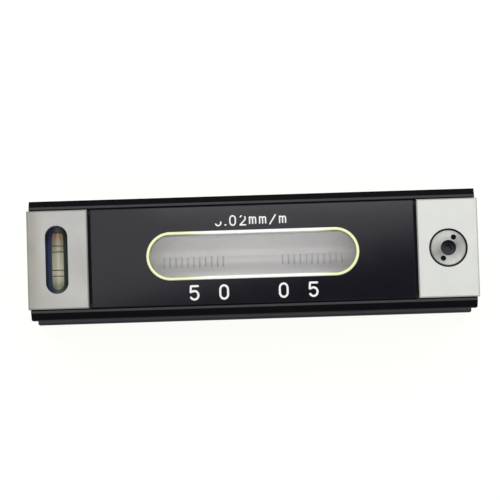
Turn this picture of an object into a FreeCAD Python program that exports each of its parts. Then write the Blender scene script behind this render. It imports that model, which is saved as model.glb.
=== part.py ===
import FreeCAD, Part
import math
import os
import re
import Sketcher

# Precision machinist level, bar form, 150 mm. Millimetres, +Z up.
# The bar lies along X, its base face is on Z = 0 and its centre line is X = Y = 0.

# Driving sizes: name, millimetres (or degrees), and what it measures.
SIZES = [
    # Bar
    ("body_length", 150.0, "bar, end face to end face"),
    ("body_width", 40.0, "base and top flange, side to side"),
    ("body_height", 39.4, "base face to the narrow lands beside the cover"),
    ("web_wall", 3.8, "iron between the cavity and each side recess"),
    ("base_flange_edge", 8.0, "height of the base flange's side face"),
    ("top_flange_edge", 9.4, "top land down to the top flange's lower edge"),
    ("flange_slope", 2.5, "rise of the flanges' inner faces to the web"),
    ("recess_fillet", 3.0, "radius in the corners of the side recesses"),
    ("top_bevel", 2.3, "bevel along the top flange's outer edges"),
    ("land_width", 0.9, "narrow flat beside the cover"),
    ("base_bevel", 0.5, "bevel along the base's outer edges"),
    ("vee_width", 16.0, "V groove in the base, at its mouth"),
    ("vee_angle", 120.0, "V groove, included angle"),
    ("vee_relief", 2.0, "flat at the V groove's apex"),
    # Running and bonding clearances
    ("fit_gap", 0.2, "clearance beside parts that drop into a recess"),
    ("bond_gap", 0.02, "radial clearance of cemented and screwed parts"),
    ("turn_gap", 0.05, "radial clearance of parts that turn"),
    ("drill_room", 1.0, "drilled hole beyond its screw's point"),
    # Cover panel
    ("panel_thickness", 3.0, "cover panel, flush with the lands"),
    ("panel_gap", 0.9, "open joint between the panel and each cap"),
    ("panel_bevel", 0.3, "bevel round the panel's top"),
    ("tongue_inset", 1.6, "tongue under each cap, narrower than the panel on each side"),
    ("tongue_thickness", 1.2, "the same, thickness"),
    # Window
    ("window_margin", 19.85, "panel's end to the window's clear opening"),
    ("window_width", 14.0, "clear opening, across"),
    ("bezel_rim", 1.15, "ring round the window, visible width"),
    ("bezel_lap", 0.5, "how far the ring laps on to the panel"),
    ("bezel_proud", 0.5, "how far the ring stands above the panel"),
    ("bezel_depth", 2.5, "how far the ring reaches into the panel"),
    ("bezel_round", 0.35, "rounding of the ring's top edges"),
    ("lens_thickness", 1.8, "window pane"),
    ("lens_drop", 0.2, "window pane's top below the panel's"),
    # End caps
    ("cap_length", 20.4, "end cap along the bar"),
    ("cap_proud", 0.6, "cap's top above the lands"),
    ("cap_overhang", 0.8, "cap's outer face beyond the bar's end"),
    ("cap_bevel", 0.4, "bevel of the cap's edges"),
    ("skirt_thickness", 2.0, "cap's skirt over the bar's end"),
    ("skirt_side_wall", 1.0, "iron each side of the skirt"),
    ("skirt_foot_gap", 1.5, "skirt's lower edge above the base flange"),
    ("cap_screw_diameter", 3.0, "countersunk screws through the skirt"),
    ("cap_screw_sink", 1.5, "the same, depth of the 90 degree countersink"),
    ("cap_screw_sunk", 0.1, "the same, head below the skirt's face"),
    ("cap_screw_length", 9.0, "the same, overall"),
    ("cap_screw_slot", 0.8, "the same, width of the driver's slot"),
    ("cap_screw_edge", 3.5, "the same, centre to the skirt's side"),
    ("cap_screw_cover", 1.5, "iron between the screws and the cross vial's pocket"),
    # Cross vial in the left cap
    ("cross_vial_inset", 9.9, "cross vial's axis from the cap's outer face"),
    ("cross_vial_diameter", 5.6, "cross vial's glass tube"),
    ("cross_glass_wall", 0.6, "the same, wall"),
    ("cross_vial_length", 22.0, "the same, length"),
    ("cross_vial_cover", 1.2, "the same, covered at each end"),
    ("cross_stopper_length", 1.5, "stopper in each end"),
    ("cross_bubble_length", 6.0, "bubble in the cross vial"),
    ("cross_bubble_width", 3.0, "the same, width"),
    ("cross_bubble_depth", 1.0, "the same, depth"),
    ("cross_backing_wall", 0.18, "pale strip under the cross vial"),
    ("plaster_length", 2.0, "plaster beyond each end of the cross vial"),
    ("holder_wall", 1.65, "cross vial holder, wall beside its bore"),
    ("holder_base", 0.45, "the same, wall under its bore"),
    ("holder_end", 1.8, "the same, thickness of its square ends"),
    ("holder_view_width", 4.0, "the same, opening over the vial"),
    ("holder_top_gap", 1.2, "the same, round top below the cap"),
    ("holder_side_gap", 1.0, "the same, clearance in its pocket"),
    ("pocket_corner", 1.5, "radius in that pocket's corners"),
    ("pocket_wall", 3.0, "iron between that pocket and the cavity"),
    ("slot_lap", 0.9, "how far the cap covers each side of the holder"),
    ("slot_end_gap", 1.7, "cap's slot beyond the holder's opening"),
    # Main cavity
    ("cavity_side_gap", 1.7, "carrier sleeve to the cavity's side"),
    ("cavity_top_gap", 0.9, "carrier sleeve to the cover's underside"),
    ("cavity_floor_gap", 2.0, "carrier sleeve to the cavity's floor"),
    ("cavity_end_gap", 3.5, "carrier sleeve to the cavity's right end"),
    ("cavity_corner", 3.0, "radius in the cavity's corners"),
    # Main vial and its carrier
    ("vial_diameter", 14.0, "main vial's glass tube"),
    ("glass_wall", 1.2, "the same, wall"),
    ("stopper_length", 4.0, "stopper in each end"),
    ("bubble_length", 20.0, "bubble in the main vial"),
    ("bubble_width", 8.0, "the same, width"),
    ("bubble_depth", 2.4, "the same, depth"),
    ("seat_length", 6.0, "plaster ring at each end of the vial"),
    ("seat_wall", 0.5, "the same, wall"),
    ("sleeve_wall", 1.0, "carrier sleeve, wall"),
    ("sleeve_view_margin", 1.85, "sleeve's viewing cut-out beyond the window"),
    ("sleeve_view_rise", 2.0, "cut-out's lower edges above the vial's axis"),
    ("reflector_wall", 0.3, "white strip under the vial"),
    ("reflector_gap", 0.1, "the same, clearance from the sleeve's bore"),
    ("plug_length", 3.0, "carrier plugs, length in the sleeve"),
    ("set_screw_diameter", 2.0, "screws that hold the plugs"),
    ("set_screw_length", 2.2, "the same, length"),
    ("set_screw_slot", 0.4, "the same, width of the driver's slot"),
    ("set_screw_slot_depth", 0.5, "the same, depth of that slot"),
    # Pivot
    ("pivot_pin_diameter", 3.0, "pivot pin"),
    ("lug_width", 5.0, "eye of the pivot plug, across"),
    ("lug_wall", 1.25, "the same, wall round the pin"),
    ("fork_gap", 0.1, "clearance each side of the eye in its fork"),
    ("fork_cheek", 2.4, "thickness of each cheek of the fork"),
    ("fork_wall", 1.7, "cheek beside the pin"),
    ("bracket_length", 9.5, "fork's foot along the bar"),
    ("bracket_foot", 3.0, "the same, thickness"),
    ("bracket_corner", 2.5, "the same, corner radius"),
    ("bracket_side_gap", 0.5, "the same, clearance from the cavity's sides"),
    ("bracket_end_gap", 0.65, "the same, clearance from the cavity's left end"),
    ("bracket_sleeve_gap", 1.05, "the same, clearance from the sleeve"),
    ("bracket_screw_diameter", 2.5, "screws of the fork's foot"),
    ("bracket_screw_head", 4.4, "the same, head"),
    ("bracket_screw_head_height", 2.5, "the same, head's height"),
    ("bracket_screw_depth", 5.0, "the same, length in the bar"),
    ("bracket_screw_socket", 2.0, "the same, hexagon across flats"),
    # Adjuster
    ("adjuster_inset", 10.1, "adjuster's axis from the cap's outer face"),
    ("boss_wall", 1.2, "boss under the right cap, wall round the thread"),
    ("boss_depth", 7.5, "the same, length"),
    ("boss_side_gap", 0.3, "the same, clearance in the bar"),
    ("ring_diameter", 12.0, "lock ring's head"),
    ("ring_side_gap", 0.5, "clearance round the head in its counterbore"),
    ("ring_well_depth", 2.1, "depth of that counterbore"),
    ("ring_sunk", 0.1, "lock ring's face below the cap's"),
    ("ring_lip", 1.0, "head beyond the lock ring's threaded shank"),
    ("ring_thread_length", 3.5, "length of that shank"),
    ("ring_hole", 5.2, "hole through the lock ring for the key"),
    ("ring_bevel", 0.3, "bevel of the lock ring's face"),
    ("spanner_hole", 1.8, "two holes for a pin spanner"),
    ("spanner_hole_depth", 1.5, "the same, depth"),
    ("spanner_circle", 7.9, "the same, on this circle"),
    ("spanner_angle", 62.5, "the same, turned from the bar's line"),
    ("adjusting_screw_diameter", 7.0, "fine-thread screw, 0.5 mm pitch"),
    ("adjusting_screw_length", 5.2, "the same, length"),
    ("adjusting_screw_sunk", 0.5, "the same, top below the lock ring"),
    ("adjusting_socket", 3.0, "the same, hexagon across flats"),
    ("adjusting_socket_depth", 2.6, "the same, hexagon's depth"),
    ("adjusting_bevel", 0.4, "the same, bevel of its ends"),
    ("ball_diameter", 3.0, "thrust ball under the adjusting screw"),
    ("ball_sunk", 1.0, "depth of the ball's seat in the screw"),
    ("ball_gap", 0.1, "ball to tongue"),
    ("tongue_plate", 3.0, "carrier's tongue, thickness"),
    ("tongue_plate_width", 8.0, "the same, width"),
    ("tongue_side_gap", 1.5, "the same, clearance in its channel"),
    ("spring_diameter", 4.4, "return spring, middle of the wire"),
    ("spring_wire", 0.8, "the same, wire"),
    ("spring_turns", 3.0, "the same, turns"),
    ("spring_side_gap", 0.4, "the same, clearance in its pocket"),
    ("spring_pocket_depth", 3.0, "that pocket's depth below the cavity's floor"),
]

# Sizes worked out from the driving ones.
DERIVED = [
    # Across the bar
    ("vial_bore", "vial_diameter - 2 * glass_wall", "main vial's bore"),
    ("sleeve_bore", "vial_diameter + 2 * seat_wall", "carrier sleeve's bore"),
    ("sleeve_diameter", "sleeve_bore + 2 * sleeve_wall", "carrier sleeve, outside"),
    ("cavity_width", "sleeve_diameter + 2 * cavity_side_gap", "cavity across"),
    ("web_width", "cavity_width + 2 * web_wall", "bar across its side recesses"),
    ("rebate_width", "body_width - 2 * top_bevel - 2 * land_width", "rebate in the bar's top"),
    ("panel_width", "rebate_width - 2 * fit_gap", "cover panel and caps, side to side"),
    ("tongue_width", "panel_width - 2 * tongue_inset", "panel's tongues"),
    ("skirt_width", "web_width - 2 * skirt_side_wall", "cap's skirt"),
    ("cap_screw_spacing", "skirt_width - 2 * cap_screw_edge", "skirt's screws, centre to centre"),
    ("vee_depth", "(vee_width - vee_relief) / 2 / tan(vee_angle / 2)", "V groove's depth"),
    # Cross vial and its holder
    ("cross_vial_bore", "cross_vial_diameter - 2 * cross_glass_wall", "cross vial's bore"),
    ("holder_bore", "cross_vial_diameter + 2 * (bond_gap + cross_backing_wall + turn_gap)",
     "holder's bore for the vial and its backing"),
    ("holder_width", "holder_bore + 2 * holder_wall", "holder, across, and its round top"),
    ("holder_length", "cross_vial_length + 2 * plaster_length", "holder, along Y"),
    ("holder_view_length", "cross_vial_length - 2 * cross_vial_cover", "opening over the vial"),
    ("cross_pocket_length", "holder_length + 2 * fit_gap", "pocket for the holder, along Y"),
    ("cross_pocket_width", "holder_width + 2 * holder_side_gap", "the same, across"),
    ("cross_slot_length", "holder_view_length + 2 * slot_end_gap", "slot in the left cap"),
    ("cross_slot_width", "holder_width - 2 * slot_lap", "the same, across"),
    # Heights above the base
    ("base_flange_root", "base_flange_edge + flange_slope", "base flange meets the web"),
    ("top_flange_root", "top_flange_edge + flange_slope", "top land to the web, downwards"),
    ("top_floor", "body_height - panel_thickness", "rebate's floor under panel and caps"),
    ("cap_top", "body_height + cap_proud", "caps' top"),
    ("skirt_foot", "base_flange_root + skirt_foot_gap", "skirts' lower edge"),
    ("vial_height", "top_floor - cavity_top_gap - sleeve_diameter / 2", "main vial's axis"),
    ("cavity_floor", "vial_height - sleeve_diameter / 2 - cavity_floor_gap", "cavity's floor"),
    ("cross_vial_height", "top_floor - holder_top_gap - holder_width / 2", "cross vial's axis"),
    ("cross_pocket_floor", "cross_vial_height - holder_bore / 2 - holder_base", "pocket's floor"),
    ("cap_screw_height", "cross_pocket_floor - cap_screw_cover - cap_screw_diameter / 2",
     "skirts' screws"),
    # Distances along the bar, from its middle
    ("cap_end", "body_length / 2 + cap_overhang", "caps' outer faces"),
    ("cap_inner", "cap_end - cap_length", "caps' inner edges"),
    ("panel_end", "cap_inner - panel_gap", "panel's ends"),
    ("end_seat", "cap_end - skirt_thickness", "bar's end under the skirts"),
    ("cross_offset", "cap_end - cross_vial_inset", "cross vial's axis"),
    ("adjuster_offset", "cap_end - adjuster_inset", "adjuster's axis"),
    ("cavity_end_left", "cross_offset - cross_pocket_width / 2 - pocket_wall", "cavity's left end"),
    ("pivot_offset", "cavity_end_left - bracket_end_gap - bracket_length / 2", "pivot pin"),
    ("sleeve_length", "2 * (pivot_offset - bracket_length / 2 - bracket_sleeve_gap)",
     "carrier sleeve, overall"),
    ("cavity_end_right", "sleeve_length / 2 + cavity_end_gap", "cavity's right end"),
    ("vial_length", "sleeve_length - 2 * plug_length", "main vial, overall"),
    ("window_length", "2 * (panel_end - window_margin)", "window's clear opening, overall"),
    ("sleeve_view_length", "window_length + 2 * sleeve_view_margin", "sleeve's cut-out, overall"),
    # Window's ring
    ("bezel_length", "window_length + 2 * bezel_rim", "ring's outer length"),
    ("bezel_width", "window_width + 2 * bezel_rim", "ring's outer width"),
    ("collar_length", "bezel_length - 2 * bezel_lap", "ring's collar in the panel, length"),
    ("collar_width", "bezel_width - 2 * bezel_lap", "the same, width"),
    # Pivot
    ("lug_height", "pivot_pin_diameter + 2 * turn_gap + 2 * lug_wall", "pivot plug's eye"),
    ("fork_width", "lug_width + 2 * fork_gap + 2 * fork_cheek", "fork, across both cheeks"),
    ("fork_cheek_width", "pivot_pin_diameter + 2 * fork_wall", "cheek along the bar"),
    ("bracket_width", "cavity_width - 2 * bracket_side_gap", "fork's foot, across"),
    ("bracket_screw_spacing", "fork_width + bracket_screw_head + 2 * fit_gap",
     "foot's screws, centre to centre"),
    # Adjuster
    ("ring_well_diameter", "ring_diameter + 2 * ring_side_gap", "counterbore round the lock ring"),
    ("ring_thread", "ring_diameter - 2 * ring_lip", "lock ring's threaded shank"),
    ("boss_diameter", "ring_thread + 2 * boss_wall", "boss under the right cap"),
    ("boss_bottom", "top_floor - boss_depth", "height of the boss's lower face"),
    ("tongue_end", "adjuster_offset - boss_diameter / 2 - fit_gap / 2", "end of the panel's tongues"),
    ("ring_floor", "cap_top - ring_well_depth", "height of the counterbore's floor"),
    ("ring_bottom", "ring_floor - ring_thread_length", "height of the lock ring's lower end"),
    ("screw_top", "ring_bottom - adjusting_screw_sunk", "height of the adjusting screw's top"),
    ("screw_bottom", "screw_top - adjusting_screw_length", "height of its lower end"),
    ("ball_top", "screw_bottom + ball_sunk - turn_gap", "height of the ball's top"),
    ("tongue_top", "ball_top - ball_diameter - ball_gap", "height of the tongue's face"),
    ("tongue_bottom", "tongue_top - tongue_plate", "height of the tongue's underside"),
    ("channel_width", "tongue_plate_width + 2 * tongue_side_gap", "channel round the tongue"),
    ("spring_foot", "cavity_floor - spring_pocket_depth", "height of the spring's foot"),
    ("spring_height", "tongue_bottom - turn_gap - spring_foot", "spring's height"),
    ("spring_pocket", "spring_diameter + spring_wire + 2 * spring_side_gap", "spring's pocket"),
]

ALIASES = {row[0] for row in SIZES + DERIVED}
LEFT = -1
RIGHT = 1


def sized(text):
    """Write an expression on the sheet's names, such as "cap_end - 1", in full."""
    def in_full(match):
        word = match.group()
        return "Sizes." + word if word in ALIASES else word
    return re.sub(r"[a-z][a-z_]+", in_full, str(text))


def make_sheet(doc):
    """Put every size in the sheet, with its note beside it."""
    sheet = doc.addObject("Spreadsheet::Sheet", "Sizes")
    for row, (alias, value, note) in enumerate(SIZES + DERIVED, start=1):
        sheet.set(f"A{row}", note)
        sheet.set(f"B{row}", f"={value}" if isinstance(value, str) else f"{value}")
        sheet.setAlias(f"B{row}", alias)
    doc.recompute()
    return sheet


doc = FreeCAD.newDocument("MachinistLevel")
sheet = make_sheet(doc)
pieces = []


def value_of(text):
    """The number that an expression on the sheet's names comes to."""
    number = sheet.evalExpression(sized(text).replace("Sizes.", ""))
    return float(getattr(number, "Value", number))


def finished(item, label):
    """Name a piece and list it for export."""
    item.Label = label
    pieces.append(item)
    return item


# Sketches. A point is a pair of expressions, in the sketch's own plane.

def new_body(name):
    """Start a piece that is built from sketches."""
    return doc.addObject("PartDesign::Body", name + "_body")


def new_sketch(body, role, offset="0"):
    """A sketch on one of the body's origin planes, moved along its normal."""
    plane = [item for item in body.Origin.OriginFeatures if item.Role == role][0]
    sketch = body.newObject("Sketcher::SketchObject", body.Name + "_sketch")
    sketch.AttachmentSupport = [(plane, "")]
    sketch.MapMode = "FlatFace"
    sketch.setExpression("AttachmentOffset.Base.z", sized(offset))
    return sketch


def hold(sketch, kind, *where, size):
    """Add a dimension that follows the sheet."""
    index = sketch.addConstraint(Sketcher.Constraint(kind, *where, value_of(size)))
    sketch.setExpression(f"Constraints[{index}]", sized(size))


def place_point(sketch, geometry, end, point):
    """Hold a point of the sketch by its two distances from the origin."""
    hold(sketch, "DistanceX", -1, 1, geometry, end, size=point[0])
    hold(sketch, "DistanceY", -1, 1, geometry, end, size=point[1])


def add_polygon(sketch, points):
    """A closed outline of straight edges."""
    corners = [FreeCAD.Vector(value_of(x), value_of(y), 0) for x, y in points]
    first = sketch.GeometryCount
    count = len(corners)
    for index in range(count):
        sketch.addGeometry(Part.LineSegment(corners[index], corners[(index + 1) % count]))
    for index in range(count):
        following = first + (index + 1) % count
        sketch.addConstraint(Sketcher.Constraint("Coincident", first + index, 2, following, 1))
    for index, point in enumerate(points):
        place_point(sketch, first + index, 1, point)


def add_box(sketch, low, high):
    """A rectangle from its low corner to its high one."""
    add_polygon(sketch, [low, (high[0], low[1]), high, (low[0], high[1])])


def add_circle(sketch, centre, diameter):
    """A circle held by its centre and diameter."""
    middle = FreeCAD.Vector(value_of(centre[0]), value_of(centre[1]), 0)
    circle = Part.Circle(middle, FreeCAD.Vector(0, 0, 1), value_of(diameter) / 2)
    index = sketch.addGeometry(circle)
    place_point(sketch, index, 3, centre)
    hold(sketch, "Diameter", index, size=diameter)


def add_slot(sketch, first_centre, last_centre, width, along_y=False):
    """A round-ended slot between two centres, along the sketch's X or Y."""
    radius = value_of(width) / 2
    turn = math.pi / 2 if along_y else 0.0
    side = FreeCAD.Vector(-math.sin(turn), math.cos(turn), 0) * radius
    start = FreeCAD.Vector(*(value_of(part) for part in first_centre), 0)
    stop = FreeCAD.Vector(*(value_of(part) for part in last_centre), 0)
    up = FreeCAD.Vector(0, 0, 1)
    quarter = math.pi / 2
    arc_a = Part.ArcOfCircle(Part.Circle(start, up, radius), turn + quarter, turn + 3 * quarter)
    arc_b = Part.ArcOfCircle(Part.Circle(stop, up, radius), turn - quarter, turn + quarter)
    near = sketch.addGeometry(arc_a)
    low = sketch.addGeometry(Part.LineSegment(start - side, stop - side))
    far = sketch.addGeometry(arc_b)
    high = sketch.addGeometry(Part.LineSegment(stop + side, start + side))
    for one, one_end, other, other_end in ((near, 2, low, 1), (low, 2, far, 1),
                                           (far, 2, high, 1), (high, 2, near, 1)):
        sketch.addConstraint(Sketcher.Constraint("Tangent", one, one_end, other, other_end))
    place_point(sketch, near, 3, first_centre)
    place_point(sketch, far, 3, last_centre)
    sketch.addConstraint(Sketcher.Constraint("Equal", near, far))
    hold(sketch, "Radius", near, size=f"({width}) / 2")


def add_arch(sketch, centre, width, foot):
    """A round top about a centre, with straight sides down to a level foot."""
    radius = value_of(width) / 2
    middle = FreeCAD.Vector(value_of(centre[0]), value_of(centre[1]), 0)
    left = FreeCAD.Vector(middle.x - radius, value_of(foot), 0)
    right = FreeCAD.Vector(middle.x + radius, value_of(foot), 0)
    circle = Part.Circle(middle, FreeCAD.Vector(0, 0, 1), radius)
    arc = sketch.addGeometry(Part.ArcOfCircle(circle, 0, math.pi))
    down = sketch.addGeometry(Part.LineSegment(FreeCAD.Vector(left.x, middle.y, 0), left))
    level = sketch.addGeometry(Part.LineSegment(left, right))
    rise = sketch.addGeometry(Part.LineSegment(right, FreeCAD.Vector(right.x, middle.y, 0)))
    sketch.addConstraint(Sketcher.Constraint("Tangent", arc, 2, down, 1))
    sketch.addConstraint(Sketcher.Constraint("Coincident", down, 2, level, 1))
    sketch.addConstraint(Sketcher.Constraint("Coincident", level, 2, rise, 1))
    sketch.addConstraint(Sketcher.Constraint("Tangent", rise, 2, arc, 1))
    sketch.addConstraint(Sketcher.Constraint("Vertical", down))
    sketch.addConstraint(Sketcher.Constraint("Vertical", rise))
    sketch.addConstraint(Sketcher.Constraint("Horizontal", level))
    place_point(sketch, arc, 3, centre)
    hold(sketch, "Radius", arc, size=f"({width}) / 2")
    hold(sketch, "DistanceY", -1, 1, level, 1, size=foot)


def window_slot(sketch, length, width):
    """A slot centred on the bar, of this overall length and width."""
    half = f"(({length}) - ({width})) / 2"
    add_slot(sketch, (f"-{half}", "0"), (half, "0"), width)


def add_hexagon(sketch, centre, across_flats):
    """A hexagon with two corners on the sketch's X direction."""
    corner_angles = [60 * index for index in range(6)]
    reach = f"({across_flats}) / sqrt(3)"
    add_polygon(sketch, [(f"{centre[0]} + {reach} * cos({angle} deg)",
                          f"{centre[1]} + {reach} * sin({angle} deg)") for angle in corner_angles])


# Features.

def pad(body, sketch, length, symmetric=False, backwards=False):
    """Raise a sketch along its normal."""
    feature = body.newObject("PartDesign::Pad", body.Name + "_pad")
    feature.Profile = sketch
    feature.setExpression("Length", sized(length))
    feature.SideType = "Symmetric" if symmetric else "One side"
    feature.Reversed = backwards
    sketch.Visibility = False
    doc.recompute()
    return feature


def pocket(body, sketch, length, symmetric=False, backwards=False):
    """Cut a sketch against its normal, and see that something was cut."""
    before = body.Shape.Volume
    feature = body.newObject("PartDesign::Pocket", body.Name + "_pocket")
    feature.Profile = sketch
    feature.setExpression("Length", sized(length))
    feature.SideType = "Symmetric" if symmetric else "One side"
    feature.Reversed = backwards
    sketch.Visibility = False
    doc.recompute()
    if not feature.Shape.Volume < before:
        raise RuntimeError(f"{feature.Name} cuts nothing")
    return feature


def dress(body, kind, size, picked):
    """Fillet or chamfer the edges of the body that picked() says yes to."""
    base = body.Tip
    names = [f"Edge{index}" for index, edge in enumerate(base.Shape.Edges, start=1) if picked(edge)]
    if not names:
        raise RuntimeError(f"{body.Name} has no edge for its {kind}")
    feature = body.newObject("PartDesign::" + kind, body.Name + "_" + kind)
    feature.Base = (base, names)
    feature.setExpression("Radius" if kind == "Fillet" else "Size", sized(size))
    doc.recompute()
    return feature


def close(one, other):
    """Whether two sizes are the same, in a thousandth of a millimetre."""
    return abs(one - other) < 0.001


def lies_at_height(edge, height):
    """Whether an edge lies level at a height."""
    box = edge.BoundBox
    return close(box.ZMin, height) and close(box.ZMax, height)


def runs_along(edge, axis):
    """Whether an edge is straight and runs along "X", "Y" or "Z"."""
    box = edge.BoundBox
    across = {"X": (box.YLength, box.ZLength), "Y": (box.XLength, box.ZLength),
              "Z": (box.XLength, box.YLength)}[axis]
    return edge.Curve.TypeId == "Part::GeomLine" and max(across) < 0.001


# Pieces made from Part's own primitives.

AXIS_TURN = {
    "X": FreeCAD.Rotation(FreeCAD.Vector(0, 1, 0), 90),
    "-X": FreeCAD.Rotation(FreeCAD.Vector(0, 1, 0), -90),
    "Y": FreeCAD.Rotation(FreeCAD.Vector(1, 0, 0), -90),
    "Z": FreeCAD.Rotation(),
}


def primitive(kind, name, start, axis, **sizes):
    """A Part primitive whose sizes and place follow the sheet."""
    item = doc.addObject("Part::" + kind, name)
    for key, text in sizes.items():
        item.setExpression(key, sized(text))
    item.Placement.Rotation = AXIS_TURN[axis]
    for letter, text in zip("xyz", start):
        item.setExpression(f"Placement.Base.{letter}", sized(text))
    return item


def rod(name, start, axis, diameter, length):
    """A cylinder from its start along an axis."""
    return primitive("Cylinder", name, start, axis, Radius=f"({diameter}) / 2", Height=length)


def cut(name, base, tool):
    """One shape less another."""
    item = doc.addObject("Part::Cut", name)
    item.Base = base
    item.Tool = tool
    doc.recompute()
    return item


def fuse(name, *shapes):
    """Several shapes as one solid."""
    item = doc.addObject("Part::MultiFuse", name)
    item.Shapes = list(shapes)
    item.Refine = True
    doc.recompute()
    return item


def mirrored_pair(label, source, normal):
    """A shape and its mirror image across a plane through the origin, as one piece."""
    image = doc.addObject("Part::Mirroring", label + "_image")
    image.Source = source
    image.Normal = FreeCAD.Vector(*normal)
    pair = doc.addObject("Part::Compound", label + "_pair")
    pair.Links = [source, image]
    doc.recompute()
    return finished(pair, label)


def ring_along_x(label, middle, height, outer, inner, length):
    """A tube along X, from a sketch of two circles."""
    body = new_body(label)
    sketch = new_sketch(body, "YZ_Plane", middle)
    add_circle(sketch, ("0", height), outer)
    add_circle(sketch, ("0", height), inner)
    pad(body, sketch, length, symmetric=True)
    return body


# The bar.

def make_body_casting():
    """I-section iron bar with its cavity, end seats, screw holes and V groove."""
    body = new_body("body_casting")
    section = new_sketch(body, "YZ_Plane")
    half = [
        ("vee_relief / 2", "vee_depth"),
        ("vee_width / 2", "0"),
        ("body_width / 2", "0"),
        ("body_width / 2", "base_flange_edge"),
        ("web_width / 2", "base_flange_root"),
        ("web_width / 2", "body_height - top_flange_root"),
        ("body_width / 2", "body_height - top_flange_edge"),
        ("body_width / 2", "body_height - top_bevel"),
        ("body_width / 2 - top_bevel", "body_height"),
        ("rebate_width / 2", "body_height"),
        ("rebate_width / 2", "top_floor"),
    ]
    other_half = [(f"-({across})", height) for across, height in reversed(half)]
    add_polygon(section, half + other_half)
    pad(body, section, "body_length", symmetric=True)

    web = value_of("web_width / 2")
    dress(body, "Fillet", "recess_fillet",
          lambda edge: runs_along(edge, "X") and close(abs(edge.BoundBox.YMax), web))
    side = value_of("body_width / 2")
    dress(body, "Chamfer", "base_bevel",
          lambda edge: runs_along(edge, "X") and close(abs(edge.BoundBox.YMax), side)
          and lies_at_height(edge, 0.0))

    cavity = new_sketch(body, "XY_Plane", "top_floor")
    add_box(cavity, ("-cavity_end_left", "-cavity_width / 2"),
            ("cavity_end_right", "cavity_width / 2"))
    pocket(body, cavity, "top_floor - cavity_floor")
    sides = value_of("cavity_width / 2")
    dress(body, "Fillet", "cavity_corner",
          lambda edge: runs_along(edge, "Z") and close(abs(edge.BoundBox.YMax), sides))

    cross_pocket = new_sketch(body, "XY_Plane", "top_floor")
    add_box(cross_pocket, ("-cross_offset - cross_pocket_width / 2", "-cross_pocket_length / 2"),
            ("-cross_offset + cross_pocket_width / 2", "cross_pocket_length / 2"))
    pocket(body, cross_pocket, "top_floor - cross_pocket_floor")
    ends = value_of("cross_pocket_length / 2")
    dress(body, "Fillet", "pocket_corner",
          lambda edge: runs_along(edge, "Z") and close(abs(edge.BoundBox.YMax), ends))

    channel = new_sketch(body, "XY_Plane", "top_floor")
    add_slot(channel, ("cavity_end_right - channel_width / 2", "0"), ("adjuster_offset", "0"),
             "channel_width")
    pocket(body, channel, "top_floor - cavity_floor")

    boss_pocket = new_sketch(body, "XY_Plane", "top_floor")
    add_circle(boss_pocket, ("adjuster_offset", "0"), "boss_diameter + 2 * boss_side_gap")
    pocket(body, boss_pocket, "boss_depth + 2 * fit_gap")

    spring_seat = new_sketch(body, "XY_Plane", "cavity_floor")
    add_circle(spring_seat, ("adjuster_offset", "0"), "spring_pocket")
    pocket(body, spring_seat, "spring_pocket_depth")

    bracket_holes = new_sketch(body, "XY_Plane", "cavity_floor")
    for side_sign in ("-", ""):
        add_circle(bracket_holes, ("-pivot_offset", f"{side_sign}bracket_screw_spacing / 2"),
                   "bracket_screw_diameter + 2 * bond_gap")
    pocket(body, bracket_holes, "bracket_screw_depth + drill_room")

    for end, offset in ((LEFT, "-body_length / 2"), (RIGHT, "body_length / 2")):
        seat = new_sketch(body, "YZ_Plane", offset)
        add_box(seat, ("-skirt_width / 2 - fit_gap", "skirt_foot - fit_gap"),
                ("skirt_width / 2 + fit_gap", "body_height"))
        pocket(body, seat, "body_length / 2 - end_seat", backwards=end == LEFT)
        holes = new_sketch(body, "YZ_Plane", "end_seat" if end == RIGHT else "-end_seat")
        for side_sign in ("-", ""):
            add_circle(holes, (f"{side_sign}cap_screw_spacing / 2", "cap_screw_height"),
                       "cap_screw_diameter + 2 * bond_gap")
        pocket(body, holes, "cap_screw_length", backwards=end == LEFT)
    return finished(body, "body_casting")


# Cover panel and window.

def make_cover_panel():
    """Plate in the top rebate, with the window's hole and a tongue at each end."""
    body = new_body("cover_panel")
    plate = new_sketch(body, "XY_Plane", "top_floor")
    add_box(plate, ("-panel_end", "-panel_width / 2"), ("panel_end", "panel_width / 2"))
    pad(body, plate, "panel_thickness")
    top = value_of("body_height")
    dress(body, "Chamfer", "panel_bevel", lambda edge: lies_at_height(edge, top))
    tongues = new_sketch(body, "XY_Plane", "top_floor")
    add_box(tongues, ("-tongue_end", "-tongue_width / 2"),
            ("tongue_end", "tongue_width / 2"))
    pad(body, tongues, "tongue_thickness")
    hole = new_sketch(body, "XY_Plane", "body_height")
    window_slot(hole, "collar_length + 2 * bond_gap", "collar_width + 2 * bond_gap")
    pocket(body, hole, "panel_thickness")
    return finished(body, "cover_panel")


def make_window_bezel():
    """Pale ring round the window: a rim on the panel and a collar in its hole."""
    body = new_body("window_bezel")
    rim = new_sketch(body, "XY_Plane", "body_height")
    window_slot(rim, "bezel_length", "bezel_width")
    pad(body, rim, "bezel_proud")
    collar = new_sketch(body, "XY_Plane", "body_height")
    window_slot(collar, "collar_length", "collar_width")
    pad(body, collar, "bezel_depth", backwards=True)
    opening = new_sketch(body, "XY_Plane", "body_height + bezel_proud")
    window_slot(opening, "window_length", "window_width")
    pocket(body, opening, "bezel_proud + bezel_depth")
    top = value_of("body_height + bezel_proud")
    dress(body, "Fillet", "bezel_round", lambda edge: lies_at_height(edge, top))
    return finished(body, "window_bezel")


def make_window_lens():
    """Clear pane cemented inside the ring."""
    body = new_body("window_lens")
    pane = new_sketch(body, "XY_Plane", "body_height - lens_drop")
    window_slot(pane, "window_length - 2 * bond_gap", "window_width - 2 * bond_gap")
    pad(body, pane, "lens_thickness", backwards=True)
    return finished(body, "window_lens")


# End caps.

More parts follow.
